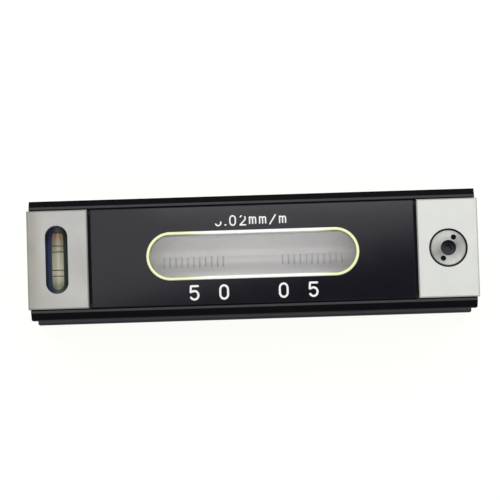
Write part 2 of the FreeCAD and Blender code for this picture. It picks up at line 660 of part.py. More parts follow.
def start_cap(name, end):
    """Top plate and skirt of an end cap, with the step over the panel's tongue."""
    sign = "-" if end == LEFT else ""
    body = new_body(name)
    plate = new_sketch(body, "XY_Plane", "top_floor")
    across = "panel_width / 2"
    reach = sorted((f"{sign}cap_inner", f"{sign}cap_end"), key=value_of)
    add_box(plate, (reach[0], f"-{across}"), (reach[1], across))
    pad(body, plate, "cap_top - top_floor")
    skirt = new_sketch(body, "YZ_Plane", f"{sign}cap_end")
    add_box(skirt, ("-skirt_width / 2", "skirt_foot"), ("skirt_width / 2", "cap_top"))
    pad(body, skirt, "skirt_thickness", backwards=end == RIGHT)
    top = value_of("cap_top")
    outer = value_of(f"{sign}cap_end")

    def is_outer(edge):
        box = edge.BoundBox
        on_end = close(box.XMin, outer) and close(box.XMax, outer)
        return lies_at_height(edge, top) or (on_end and not close(box.ZMax, top))

    dress(body, "Chamfer", "cap_bevel", is_outer)
    step = new_sketch(body, "XY_Plane", "top_floor")
    step_ends = sorted((f"{sign}cap_inner", f"{sign}(tongue_end + fit_gap)"), key=value_of)
    add_box(step, (step_ends[0], "-tongue_width / 2 - fit_gap"),
            (step_ends[1], "tongue_width / 2 + fit_gap"))
    pocket(body, step, "tongue_thickness + fit_gap / 2", backwards=True)
    holes = new_sketch(body, "YZ_Plane", f"{sign}cap_end")
    for side_sign in ("-", ""):
        add_circle(holes, (f"{side_sign}cap_screw_spacing / 2", "cap_screw_height"),
                   "cap_screw_diameter + 2 * bond_gap")
    pocket(body, holes, "skirt_thickness", backwards=end == LEFT)
    rim = value_of("cap_screw_diameter / 2 + bond_gap")

    def is_hole_mouth(edge):
        round_edge = edge.Curve.TypeId == "Part::GeomCircle" and close(edge.Curve.Radius, rim)
        return round_edge and close(edge.BoundBox.XMax, outer)

    dress(body, "Chamfer", "cap_screw_sink", is_hole_mouth)
    return body


def make_cross_vial_cap():
    """Left cap, with the slot over the cross vial."""
    body = start_cap("cross_vial_cap", LEFT)
    slot = new_sketch(body, "XY_Plane", "cap_top")
    half = "(cross_slot_length - cross_slot_width) / 2"
    add_slot(slot, ("-cross_offset", f"-{half}"), ("-cross_offset", half), "cross_slot_width",
             along_y=True)
    pocket(body, slot, "cap_top - top_floor")
    return finished(body, "cross_vial_cap")


def make_adjuster_cap():
    """Right cap, with the stepped bore of the adjuster in a boss."""
    body = start_cap("adjuster_cap", RIGHT)
    boss = new_sketch(body, "XY_Plane", "cap_top - ring_well_depth")
    add_circle(boss, ("adjuster_offset", "0"), "boss_diameter")
    pad(body, boss, "ring_floor - boss_bottom", backwards=True)
    bores = [("cap_top", "ring_well_diameter", "ring_well_depth"),
             ("ring_floor", "ring_thread + 2 * turn_gap", "ring_thread_length + fit_gap"),
             ("ring_bottom", "adjusting_screw_diameter + 2 * turn_gap", "ring_bottom - boss_bottom")]
    for height, diameter, depth in bores:
        bore = new_sketch(body, "XY_Plane", height)
        add_circle(bore, ("adjuster_offset", "0"), diameter)
        pocket(body, bore, depth)
    return finished(body, "adjuster_cap")


def make_cap_screws(label, end):
    """Two countersunk screws through a cap's skirt into the bar's end."""
    sign = "-" if end == LEFT else ""
    inward = "X" if end == LEFT else "-X"
    face = f"{sign}(cap_end - cap_screw_sunk)"
    centre = ("cap_screw_spacing / 2", "cap_screw_height")
    head_depth = "cap_screw_sink - cap_screw_sunk"
    head = primitive("Cone", label + "_head", (face, *centre), inward,
                     Radius1=f"cap_screw_diameter / 2 + {head_depth}",
                     Radius2="cap_screw_diameter / 2", Height=head_depth)
    shank = rod(label + "_shank", (face, *centre), inward, "cap_screw_diameter", "cap_screw_length")
    driver = doc.addObject("Part::Box", label + "_driver")
    driver.setExpression("Length", sized("2 * cap_screw_slot"))
    driver.setExpression("Width", sized("cap_screw_diameter + 2 * cap_screw_sink"))
    driver.setExpression("Height", sized("cap_screw_slot"))
    driver.setExpression("Placement.Base.x", sized(f"{face} - cap_screw_slot"))
    driver.setExpression("Placement.Base.y",
                         sized("(cap_screw_spacing - cap_screw_diameter) / 2 - cap_screw_sink"))
    driver.setExpression("Placement.Base.z", sized("cap_screw_height - cap_screw_slot / 2"))
    screw = cut(label + "_screw", fuse(label + "_blank", head, shank), driver)
    return mirrored_pair(label, screw, (0, 1, 0))


# Cross vial.

def make_cross_vial_holder():
    """Dark round-topped bar with the small vial's bore and viewing opening."""
    body = new_body("cross_vial_holder")
    section = new_sketch(body, "XZ_Plane")
    add_arch(section, ("-cross_offset", "cross_vial_height"), "holder_width", "cross_pocket_floor")
    pad(body, section, "holder_length", symmetric=True)
    for offset, backwards in (("-holder_length / 2", True), ("holder_length / 2", False)):
        end = new_sketch(body, "XZ_Plane", offset)
        add_box(end, ("-cross_offset - holder_width / 2", "cross_pocket_floor"),
                ("-cross_offset + holder_width / 2", "top_floor"))
        pad(body, end, "holder_end", backwards=not backwards)
    bore = new_sketch(body, "XZ_Plane")
    add_circle(bore, ("-cross_offset", "cross_vial_height"), "holder_bore")
    pocket(body, bore, "holder_length", symmetric=True)
    view = new_sketch(body, "XY_Plane", "top_floor")
    half = "(holder_view_length - holder_view_width) / 2"
    add_slot(view, ("-cross_offset", f"-{half}"), ("-cross_offset", half), "holder_view_width",
             along_y=True)
    pocket(body, view, "top_floor - cross_vial_height")
    return finished(body, "cross_vial_holder")


def make_cross_vial():
    """Small glass tube, its stoppers, filling, pale backing and plaster."""
    centre = ("-cross_offset", "cross_vial_height")
    tube = new_body("cross_vial_tube")
    section = new_sketch(tube, "XZ_Plane")
    add_circle(section, centre, "cross_vial_diameter")
    add_circle(section, centre, "cross_vial_bore")
    pad(tube, section, "cross_vial_length", symmetric=True)
    finished(tube, "cross_vial_tube")

    stopper_start = "cross_vial_length / 2 - cross_stopper_length"
    stopper = rod("cross_stopper", ("-cross_offset", stopper_start, "cross_vial_height"), "Y",
                  "cross_vial_bore - 2 * bond_gap", "cross_stopper_length")
    mirrored_pair("cross_vial_stoppers", stopper, (0, 1, 0))

    fill_length = "cross_vial_length - 2 * cross_stopper_length - 2 * bond_gap"
    fill = rod("cross_fill", ("-cross_offset", f"-({fill_length}) / 2", "cross_vial_height"), "Y",
               "cross_vial_bore - 2 * bond_gap", fill_length)
    bubble = primitive("Ellipsoid", "cross_bubble",
                       ("-cross_offset", "0", "cross_vial_height + cross_vial_bore / 2 - bond_gap"),
                       "Z", Radius1="cross_bubble_depth", Radius2="cross_bubble_width / 2",
                       Radius3="cross_bubble_length / 2")
    finished(cut("cross_spirit", fill, bubble), "cross_vial_spirit")

    backing = new_body("cross_vial_backing")
    strip = new_sketch(backing, "XZ_Plane")
    add_circle(strip, centre, "cross_vial_diameter + 2 * bond_gap + 2 * cross_backing_wall")
    add_circle(strip, centre, "cross_vial_diameter + 2 * bond_gap")
    pad(backing, strip, "holder_view_length", symmetric=True)
    upper = new_sketch(backing, "XZ_Plane")
    add_box(upper, ("-cross_offset - holder_bore", "cross_vial_height"),
            ("-cross_offset + holder_bore", "top_floor"))
    pocket(backing, upper, "holder_length", symmetric=True)
    finished(backing, "cross_vial_backing")

    bed = rod("cross_bed", ("-cross_offset", "cross_vial_length / 2 + bond_gap",
                            "cross_vial_height"), "Y", "holder_bore - 2 * bond_gap",
              "(holder_length - cross_vial_length) / 2 - 2 * bond_gap")
    mirrored_pair("cross_vial_plaster", bed, (0, 1, 0))


# Main vial and its carrier.

def make_carrier_sleeve():
    """Metal tube with the viewing cut-out and two set screw holes."""
    body = ring_along_x("carrier_sleeve", "0", "vial_height", "sleeve_diameter", "sleeve_bore",
                        "sleeve_length")
    view = new_sketch(body, "XZ_Plane")
    add_box(view, ("-sleeve_view_length / 2", "vial_height + sleeve_view_rise"),
            ("sleeve_view_length / 2", "vial_height + sleeve_diameter"))
    pocket(body, view, "2 * sleeve_diameter", symmetric=True)
    holes = new_sketch(body, "XY_Plane", "vial_height + sleeve_diameter")
    for sign in ("-", ""):
        add_circle(holes, (f"{sign}(sleeve_length - plug_length) / 2", "0"),
                   "set_screw_diameter + 2 * bond_gap")
    pocket(body, holes, "sleeve_diameter")
    return finished(body, "carrier_sleeve")


def start_plug(name, sign):
    """Disc that closes one end of the sleeve, drilled for its set screw."""
    body = new_body(name)
    disc = new_sketch(body, "YZ_Plane", f"{sign}(sleeve_length - plug_length) / 2")
    add_circle(disc, ("0", "vial_height"), "sleeve_bore - 2 * bond_gap")
    pad(body, disc, "plug_length", symmetric=True)
    return body


def drill_plug(body, sign):
    """Hole for the set screw's point."""
    hole = new_sketch(body, "XY_Plane", "vial_height + sleeve_bore / 2")
    add_circle(hole, (f"{sign}(sleeve_length - plug_length) / 2", "0"),
               "set_screw_diameter + 2 * bond_gap")
    pocket(body, hole, "set_screw_length")


def make_carrier_pivot_plug():
    """Left plug, with the eye for the pivot pin."""
    body = start_plug("carrier_pivot_plug", "-")
    lug = new_sketch(body, "XZ_Plane")
    root = "-(sleeve_length / 2 - plug_length + lug_height / 2)"
    add_slot(lug, ("-pivot_offset", "vial_height"), (root, "vial_height"), "lug_height")
    pad(body, lug, "lug_width", symmetric=True)
    eye = new_sketch(body, "XZ_Plane")
    add_circle(eye, ("-pivot_offset", "vial_height"), "pivot_pin_diameter + 2 * turn_gap")
    pocket(body, eye, "2 * lug_width", symmetric=True)
    drill_plug(body, "-")
    return finished(body, "carrier_pivot_plug")


def make_carrier_tongue_plug():
    """Right plug, with the tongue that reaches under the adjuster."""
    body = start_plug("carrier_tongue_plug", "")
    tongue = new_sketch(body, "XY_Plane", "tongue_bottom")
    root = "sleeve_length / 2 - plug_length + tongue_plate_width / 2"
    add_slot(tongue, (root, "0"), ("adjuster_offset", "0"), "tongue_plate_width")
    pad(body, tongue, "tongue_plate")
    drill_plug(body, "")
    return finished(body, "carrier_tongue_plug")


def make_set_screws():
    """Two set screws that hold the plugs in the sleeve."""
    middle = "(sleeve_length - plug_length) / 2"
    top = "vial_height + sleeve_diameter / 2 - fit_gap"
    screw = rod("set_screw_blank", (middle, "0", f"{top} - set_screw_length"), "Z",
                "set_screw_diameter", "set_screw_length")
    slot = doc.addObject("Part::Box", "set_screw_driver")
    slot.setExpression("Length", sized("set_screw_diameter"))
    slot.setExpression("Width", sized("set_screw_slot"))
    slot.setExpression("Height", sized("set_screw_length"))
    slot.setExpression("Placement.Base.x", sized(f"{middle} - set_screw_diameter / 2"))
    slot.setExpression("Placement.Base.y", sized("-set_screw_slot / 2"))
    slot.setExpression("Placement.Base.z", sized(f"{top} - set_screw_slot_depth"))
    mirrored_pair("carrier_set_screws", cut("set_screw", screw, slot), (1, 0, 0))


def make_main_vial():
    """Long glass tube, its stoppers, filling, plaster rings and white backing."""
    finished(ring_along_x("main_vial_tube", "0", "vial_height", "vial_diameter", "vial_bore",
                          "vial_length"), "main_vial_tube")
    stopper = rod("main_stopper", ("vial_length / 2 - stopper_length", "0", "vial_height"), "X",
                  "vial_bore - 2 * bond_gap", "stopper_length")
    mirrored_pair("main_vial_stoppers", stopper, (1, 0, 0))
    fill_length = "vial_length - 2 * stopper_length - 2 * bond_gap"
    fill = rod("main_fill", (f"-({fill_length}) / 2", "0", "vial_height"), "X",
               "vial_bore - 2 * bond_gap", fill_length)
    bubble = primitive("Ellipsoid", "main_bubble",
                       ("0", "0", "vial_height + vial_bore / 2 - bond_gap"), "Z",
                       Radius1="bubble_depth", Radius2="bubble_length / 2",
                       Radius3="bubble_width / 2")
    finished(cut("main_spirit", fill, bubble), "main_vial_spirit")
    for label, sign in (("vial_seat_left", "-"), ("vial_seat_right", "")):
        finished(ring_along_x(label, f"{sign}(vial_length - seat_length) / 2", "vial_height",
                              "sleeve_bore - 2 * bond_gap", "vial_diameter + 2 * bond_gap",
                              "seat_length"), label)
    reflector = ring_along_x("vial_reflector", "0", "vial_height",
                             "sleeve_bore - 2 * reflector_gap",
                             "sleeve_bore - 2 * reflector_gap - 2 * reflector_wall",
                             "vial_length - 2 * seat_length - 2 * fit_gap")
    upper = new_sketch(reflector, "XZ_Plane")
    add_box(upper, ("-vial_length / 2", "vial_height"), ("vial_length / 2", "top_floor"))
    pocket(reflector, upper, "2 * sleeve_diameter", symmetric=True)
    finished(reflector, "vial_reflector")


# Pivot.

def make_pivot_bracket():
    """Fork on the cavity's floor: a foot with two screws and two cheeks."""
    body = new_body("pivot_bracket")
    foot = new_sketch(body, "XY_Plane", "cavity_floor")
    add_box(foot, ("-pivot_offset - bracket_length / 2", "-bracket_width / 2"),
            ("-pivot_offset + bracket_length / 2", "bracket_width / 2"))
    pad(body, foot, "bracket_foot")
    dress(body, "Fillet", "bracket_corner", lambda edge: runs_along(edge, "Z"))
    cheeks = new_sketch(body, "XZ_Plane")
    add_arch(cheeks, ("-pivot_offset", "vial_height"), "fork_cheek_width", "cavity_floor")
    pad(body, cheeks, "fork_width", symmetric=True)
    gap = new_sketch(body, "XZ_Plane")
    add_box(gap, ("-pivot_offset - bracket_length", "cavity_floor + bracket_foot"),
            ("-pivot_offset + bracket_length", "vial_height + fork_cheek_width"))
    pocket(body, gap, "lug_width + 2 * fork_gap", symmetric=True)
    eye = new_sketch(body, "XZ_Plane")
    add_circle(eye, ("-pivot_offset", "vial_height"), "pivot_pin_diameter + 2 * bond_gap")
    pocket(body, eye, "2 * fork_width", symmetric=True)
    holes = new_sketch(body, "XY_Plane", "cavity_floor + bracket_foot")
    for side_sign in ("-", ""):
        add_circle(holes, ("-pivot_offset", f"{side_sign}bracket_screw_spacing / 2"),
                   "bracket_screw_diameter + 2 * bond_gap")
    pocket(body, holes, "bracket_foot")
    return finished(body, "pivot_bracket")


def make_bracket_screws():
    """Two socket head screws through the fork's foot."""
    seat = "cavity_floor + bracket_foot"
    across = "bracket_screw_spacing / 2"
    head = rod("bracket_screw_cap", ("-pivot_offset", across, seat), "Z", "bracket_screw_head",
               "bracket_screw_head_height")
    shank = rod("bracket_screw_shank",
                ("-pivot_offset", across, "cavity_floor - bracket_screw_depth"), "Z",
                "bracket_screw_diameter", "bracket_foot + bracket_screw_depth")
    key = doc.addObject("Part::Prism", "bracket_screw_key")
    key.setExpression("Circumradius", sized("bracket_screw_socket / sqrt(3)"))
    key.setExpression("Height", sized("bracket_screw_head_height"))
    key.setExpression("Placement.Base.x", sized("-pivot_offset"))
    key.setExpression("Placement.Base.y", sized(across))
    key.setExpression("Placement.Base.z", sized(f"{seat} + bracket_screw_head_height / 2"))
    screw = cut("bracket_screw", fuse("bracket_screw_blank", head, shank), key)
    return mirrored_pair("pivot_bracket_screws", screw, (0, 1, 0))


def make_pivot_pin():
    """Pin through the fork and the carrier's eye."""
    pin = rod("pivot_pin_rod", ("-pivot_offset", "-fork_width / 2", "vial_height"), "Y",
              "pivot_pin_diameter", "fork_width")
    return finished(pin, "pivot_pin")


# Adjuster.

def make_lock_ring():
    """Ring with a threaded shank, a centre hole and two spanner holes."""
    body = new_body("adjuster_lock_ring")
    centre = ("adjuster_offset", "0")
    head = new_sketch(body, "XY_Plane", "ring_floor")
    add_circle(head, centre, "ring_diameter")
    pad(body, head, "ring_well_depth - ring_sunk")
    top = value_of("cap_top - ring_sunk")
    dress(body, "Chamfer", "ring_bevel", lambda edge: lies_at_height(edge, top))
    shank = new_sketch(body, "XY_Plane", "ring_floor")
    add_circle(shank, centre, "ring_thread")
    pad(body, shank, "ring_thread_length", backwards=True)
    hole = new_sketch(body, "XY_Plane", "cap_top")
    add_circle(hole, centre, "ring_hole")
    pocket(body, hole, "cap_top - ring_bottom")
    spanner = new_sketch(body, "XY_Plane", "cap_top - ring_sunk")
    for sign in ("+", "-"):
        add_circle(spanner, (f"adjuster_offset {sign} spanner_circle / 2 * cos(spanner_angle * 1 deg)",
                             f"{sign}spanner_circle / 2 * sin(spanner_angle * 1 deg)"), "spanner_hole")
    pocket(body, spanner, "spanner_hole_depth")
    return finished(body, "adjuster_lock_ring")


def make_adjusting_screw():
    """Fine-thread screw with a hexagon socket and a seat for the ball."""
    body = new_body("adjusting_screw")
    centre = ("adjuster_offset", "0")
    blank = new_sketch(body, "XY_Plane", "screw_bottom")
    add_circle(blank, centre, "adjusting_screw_diameter")
    pad(body, blank, "adjusting_screw_length")
    dress(body, "Chamfer", "adjusting_bevel", lambda edge: edge.Curve.TypeId == "Part::GeomCircle")
    socket = new_sketch(body, "XY_Plane", "screw_top")
    add_hexagon(socket, centre, "adjusting_socket")
    pocket(body, socket, "adjusting_socket_depth")
    seat = new_sketch(body, "XY_Plane", "screw_bottom")
    add_circle(seat, centre, "ball_diameter + 2 * turn_gap")
    pocket(body, seat, "ball_sunk", backwards=True)
    return finished(body, "adjusting_screw")


def make_thrust_ball():
    """Hardened ball between the screw and the tongue."""
    ball = primitive("Sphere", "ball", ("adjuster_offset", "0", "ball_top - ball_diameter / 2"), "Z",
                     Radius="ball_diameter / 2")
    return finished(ball, "thrust_ball")


def make_return_spring():
    """Open coil spring that lifts the tongue against the ball."""
    body = new_body("return_spring")
    wire = new_sketch(body, "XZ_Plane")
    axis_x = value_of("adjuster_offset")
    line = Part.LineSegment(FreeCAD.Vector(axis_x, 0, 0), FreeCAD.Vector(axis_x, 1, 0))
    axis = wire.addGeometry(line, True)
    place_point(wire, axis, 1, ("adjuster_offset", "0"))
    place_point(wire, axis, 2, ("adjuster_offset", "spring_foot"))
    add_circle(wire, ("adjuster_offset + spring_diameter / 2", "spring_foot + spring_wire / 2"),
               "spring_wire")
    coil = body.newObject("PartDesign::AdditiveHelix", body.Name + "_coil")
    coil.Profile = wire
    coil.ReferenceAxis = (wire, ["Axis0"])
    coil.Mode = "height-turns-angle"
    coil.setExpression("Height", sized("spring_height - spring_wire"))
    coil.setExpression("Turns", sized("spring_turns"))
    wire.Visibility = False
    doc.recompute()
    return finished(body, "return_spring")


def check_and_export():
    """Stop on any failed object or bad shape, then write one file for each piece."""
    doc.recompute()
    for item in doc.Objects:
        if {"Invalid", "Error"} & set(item.State):
            raise RuntimeError(f"{item.Name} is {item.State}")
    for piece in pieces:
        shape = piece.Shape
        if shape.isNull() or not shape.isValid() or not shape.Solids:
            raise RuntimeError(f"{piece.Label} has no valid solid")
    os.makedirs("parts", exist_ok=True)
    for piece in pieces:
        piece.Shape.exportStep(f"parts/{piece.Label}.step")
        print(f"{piece.Label}: {len(piece.Shape.Solids)} solid, {piece.Shape.Volume:.1f} mm3")


make_body_casting()
make_cover_panel()
make_window_bezel()
make_window_lens()
make_cross_vial_cap()
make_adjuster_cap()
make_cap_screws("left_cap_screws", LEFT)
make_cap_screws("right_cap_screws", RIGHT)
make_cross_vial_holder()
make_cross_vial()
make_carrier_sleeve()
make_carrier_pivot_plug()
make_carrier_tongue_plug()
make_set_screws()
make_main_vial()
make_pivot_bracket()
make_bracket_screws()
make_pivot_pin()
make_lock_ring()
make_adjusting_screw()
make_thrust_ball()
make_return_spring()
check_and_export()
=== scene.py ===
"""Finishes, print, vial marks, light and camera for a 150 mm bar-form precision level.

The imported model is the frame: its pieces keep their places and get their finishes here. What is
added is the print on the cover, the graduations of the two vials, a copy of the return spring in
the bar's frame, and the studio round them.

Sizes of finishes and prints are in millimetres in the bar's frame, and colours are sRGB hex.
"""

from __future__ import annotations

import logging
import math
from dataclasses import dataclass, field, replace
from enum import Enum
from functools import cache

import bpy
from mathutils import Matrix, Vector

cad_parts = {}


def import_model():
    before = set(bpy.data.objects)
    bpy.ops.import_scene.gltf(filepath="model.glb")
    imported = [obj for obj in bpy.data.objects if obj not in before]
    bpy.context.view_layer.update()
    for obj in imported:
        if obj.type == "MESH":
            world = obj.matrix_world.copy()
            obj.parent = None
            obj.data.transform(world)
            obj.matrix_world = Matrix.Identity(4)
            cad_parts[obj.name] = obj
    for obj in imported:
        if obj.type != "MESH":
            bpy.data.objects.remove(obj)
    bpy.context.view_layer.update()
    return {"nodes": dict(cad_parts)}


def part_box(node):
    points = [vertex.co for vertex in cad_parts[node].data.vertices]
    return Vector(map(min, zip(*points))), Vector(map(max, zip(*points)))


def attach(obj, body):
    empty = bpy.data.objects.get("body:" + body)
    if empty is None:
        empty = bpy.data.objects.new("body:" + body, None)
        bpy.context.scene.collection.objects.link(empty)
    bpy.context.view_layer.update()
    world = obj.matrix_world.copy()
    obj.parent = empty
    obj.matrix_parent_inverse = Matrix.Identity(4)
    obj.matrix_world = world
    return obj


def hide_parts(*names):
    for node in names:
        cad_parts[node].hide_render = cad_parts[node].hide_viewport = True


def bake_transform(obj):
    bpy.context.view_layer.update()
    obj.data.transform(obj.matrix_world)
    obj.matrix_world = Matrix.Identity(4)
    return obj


LOG = logging.getLogger("level")
MM = 0.001
"""One millimetre in the frame's metres."""
WHITE = "#ffffff"
SHARE, UNDER, OVER, MIXED = 0, 6, 7, 2
"""Sockets of a Mix node for colours: how much of the second shows, the two colours, the result."""

Colour = tuple[float, float, float, float]
Span = tuple[float, float]
Path = list[tuple[float, float]]
Mesh = tuple[list[Vector], list[tuple[int, ...]]]
Socket = bpy.types.NodeSocket
Tree = bpy.types.NodeTree


class Axis(Enum):
    """An axis of the bar's frame: X along the bar, Y across it, Z up."""

    X = "X"
    Y = "Y"
    Z = "Z"


class Toolmark(Enum):
    """How a metal surface was made, which sets the relief that it gets."""

    BLASTED = "blasted"
    GROUND = "ground"
    TURNED = "turned"
    THREADED = "threaded"
    POLISHED = "polished"


class Print(Enum):
    """State of one printed character: whole, or rubbed off in part as on the real cover."""

    WHOLE = "whole"
    RUBBED = "rubbed"


def linear(hex_colour: str) -> Colour:
    """Turns an sRGB hex colour into the linear colour that the shaders read.

    Args:
        hex_colour: The colour as six hex digits after a hash sign.

    Returns:
        Linear red, green and blue, with an alpha of one.
    """
    channels = [int(hex_colour[i : i + 2], 16) / 255 for i in (1, 3, 5)]
    red, green, blue = (
        c / 12.92 if c <= 0.04045 else ((c + 0.055) / 1.055) ** 2.4 for c in channels
    )
    return (red, green, blue, 1.0)


def add(
    tree: Tree, kind: str, inputs: dict[str | int, object] | None = None, **settings: object
) -> bpy.types.NodeOutputs:
    """Adds one shader node.

    Args:
        tree: The node tree that gets it.
        kind: The node's type, without ShaderNode before it.
        inputs: Its sockets by name or number, each with a value, with a hex colour, or with the
            socket that feeds it.
        settings: Its other properties, which are set first.

    Returns:
        The node's outputs.
    """
    node = tree.nodes.new("ShaderNode" + kind)
    for name, value in settings.items():
        setattr(node, name, value)
    for name, value in (inputs or {}).items():
        if isinstance(value, Socket):
            tree.links.new(value, node.inputs[name])
        else:
            node.inputs[name].default_value = linear(value) if isinstance(value, str) else value
    return node.outputs


def zone(tree: Tree, place: Socket, axis: Axis, start: float, stop: float) -> Socket:
    """Marks a zone of the bar that begins along an axis.

    Args:
        tree: The material's node tree.
        place: The surface point or direction that is read.
        axis: Which of its coordinates counts.
        start: Where the zone begins to show.
        stop: Where it is full. It may lie before start, for a zone on the lower side.

    Returns:
        A socket that is 0 at start and 1 at stop, smooth between them.
    """
    ends = (0.0, 1.0) if start < stop else (1.0, 0.0)
    inputs = {
        "Value": add(tree, "SeparateXYZ", {0: place})[axis.value],
        "From Min": min(start, stop),
        "From Max": max(start, stop),
        "To Min": ends[0],
        "To Max": ends[1],
    }
    return add(tree, "MapRange", inputs, interpolation_type="SMOOTHSTEP")[0]


def grained(tree: Tree, place: Socket, size: float, depth: float, detail: float) -> Socket:
    """Roughens a surface with fine lumps of a real size.

    Args:
        tree: The material's node tree.
        place: The surface point in millimetres.
        size: Size of the lumps.
        depth: How deep they are.
        detail: How many finer sizes lie in each.

    Returns:
        The surface direction's socket.
    """
    lumps = add(tree, "TexNoise", {"Vector": place, "Scale": 1 / size, "Detail": detail})[0]
    return add(tree, "Bump", {"Height": lumps, "Distance": depth * MM})[0]


@dataclass(frozen=True)
class Finish:
    """What every finish has: a name, a main colour and how rough it is.

    Attributes:
        label: The material's name, for what it is and how it was made.
        colour: Its main colour.
        roughness: Its roughness, 0 polished to 1 matt.
    """

    label: str
    colour: str
    roughness: float

    def surface(self, tree: Tree, place: Socket) -> Socket:
        """Builds the finish's own nodes.

        Args:
            tree: The material's node tree.
            place: The surface point in the bar's frame, in millimetres.

        Returns:
            The shader that the material shows.
        """
        raise NotImplementedError


@cache
def material(finish: Finish) -> bpy.types.Material:
    """Makes the material of a finish, once for all the pieces that share it.

    Args:
        finish: The finish.

    Returns:
        Its material.
    """
    made = bpy.data.materials.new(finish.label)
    made.use_nodes = True
    tree = made.node_tree
    tree.nodes.clear()
    metres = add(tree, "TexCoord")["Object"]
    place = add(tree, "VectorMath", {"Vector": metres, "Scale": 1 / MM}, operation="SCALE")[0]
    add(tree, "OutputMaterial", {"Surface": finish.surface(tree, place)})
    return made


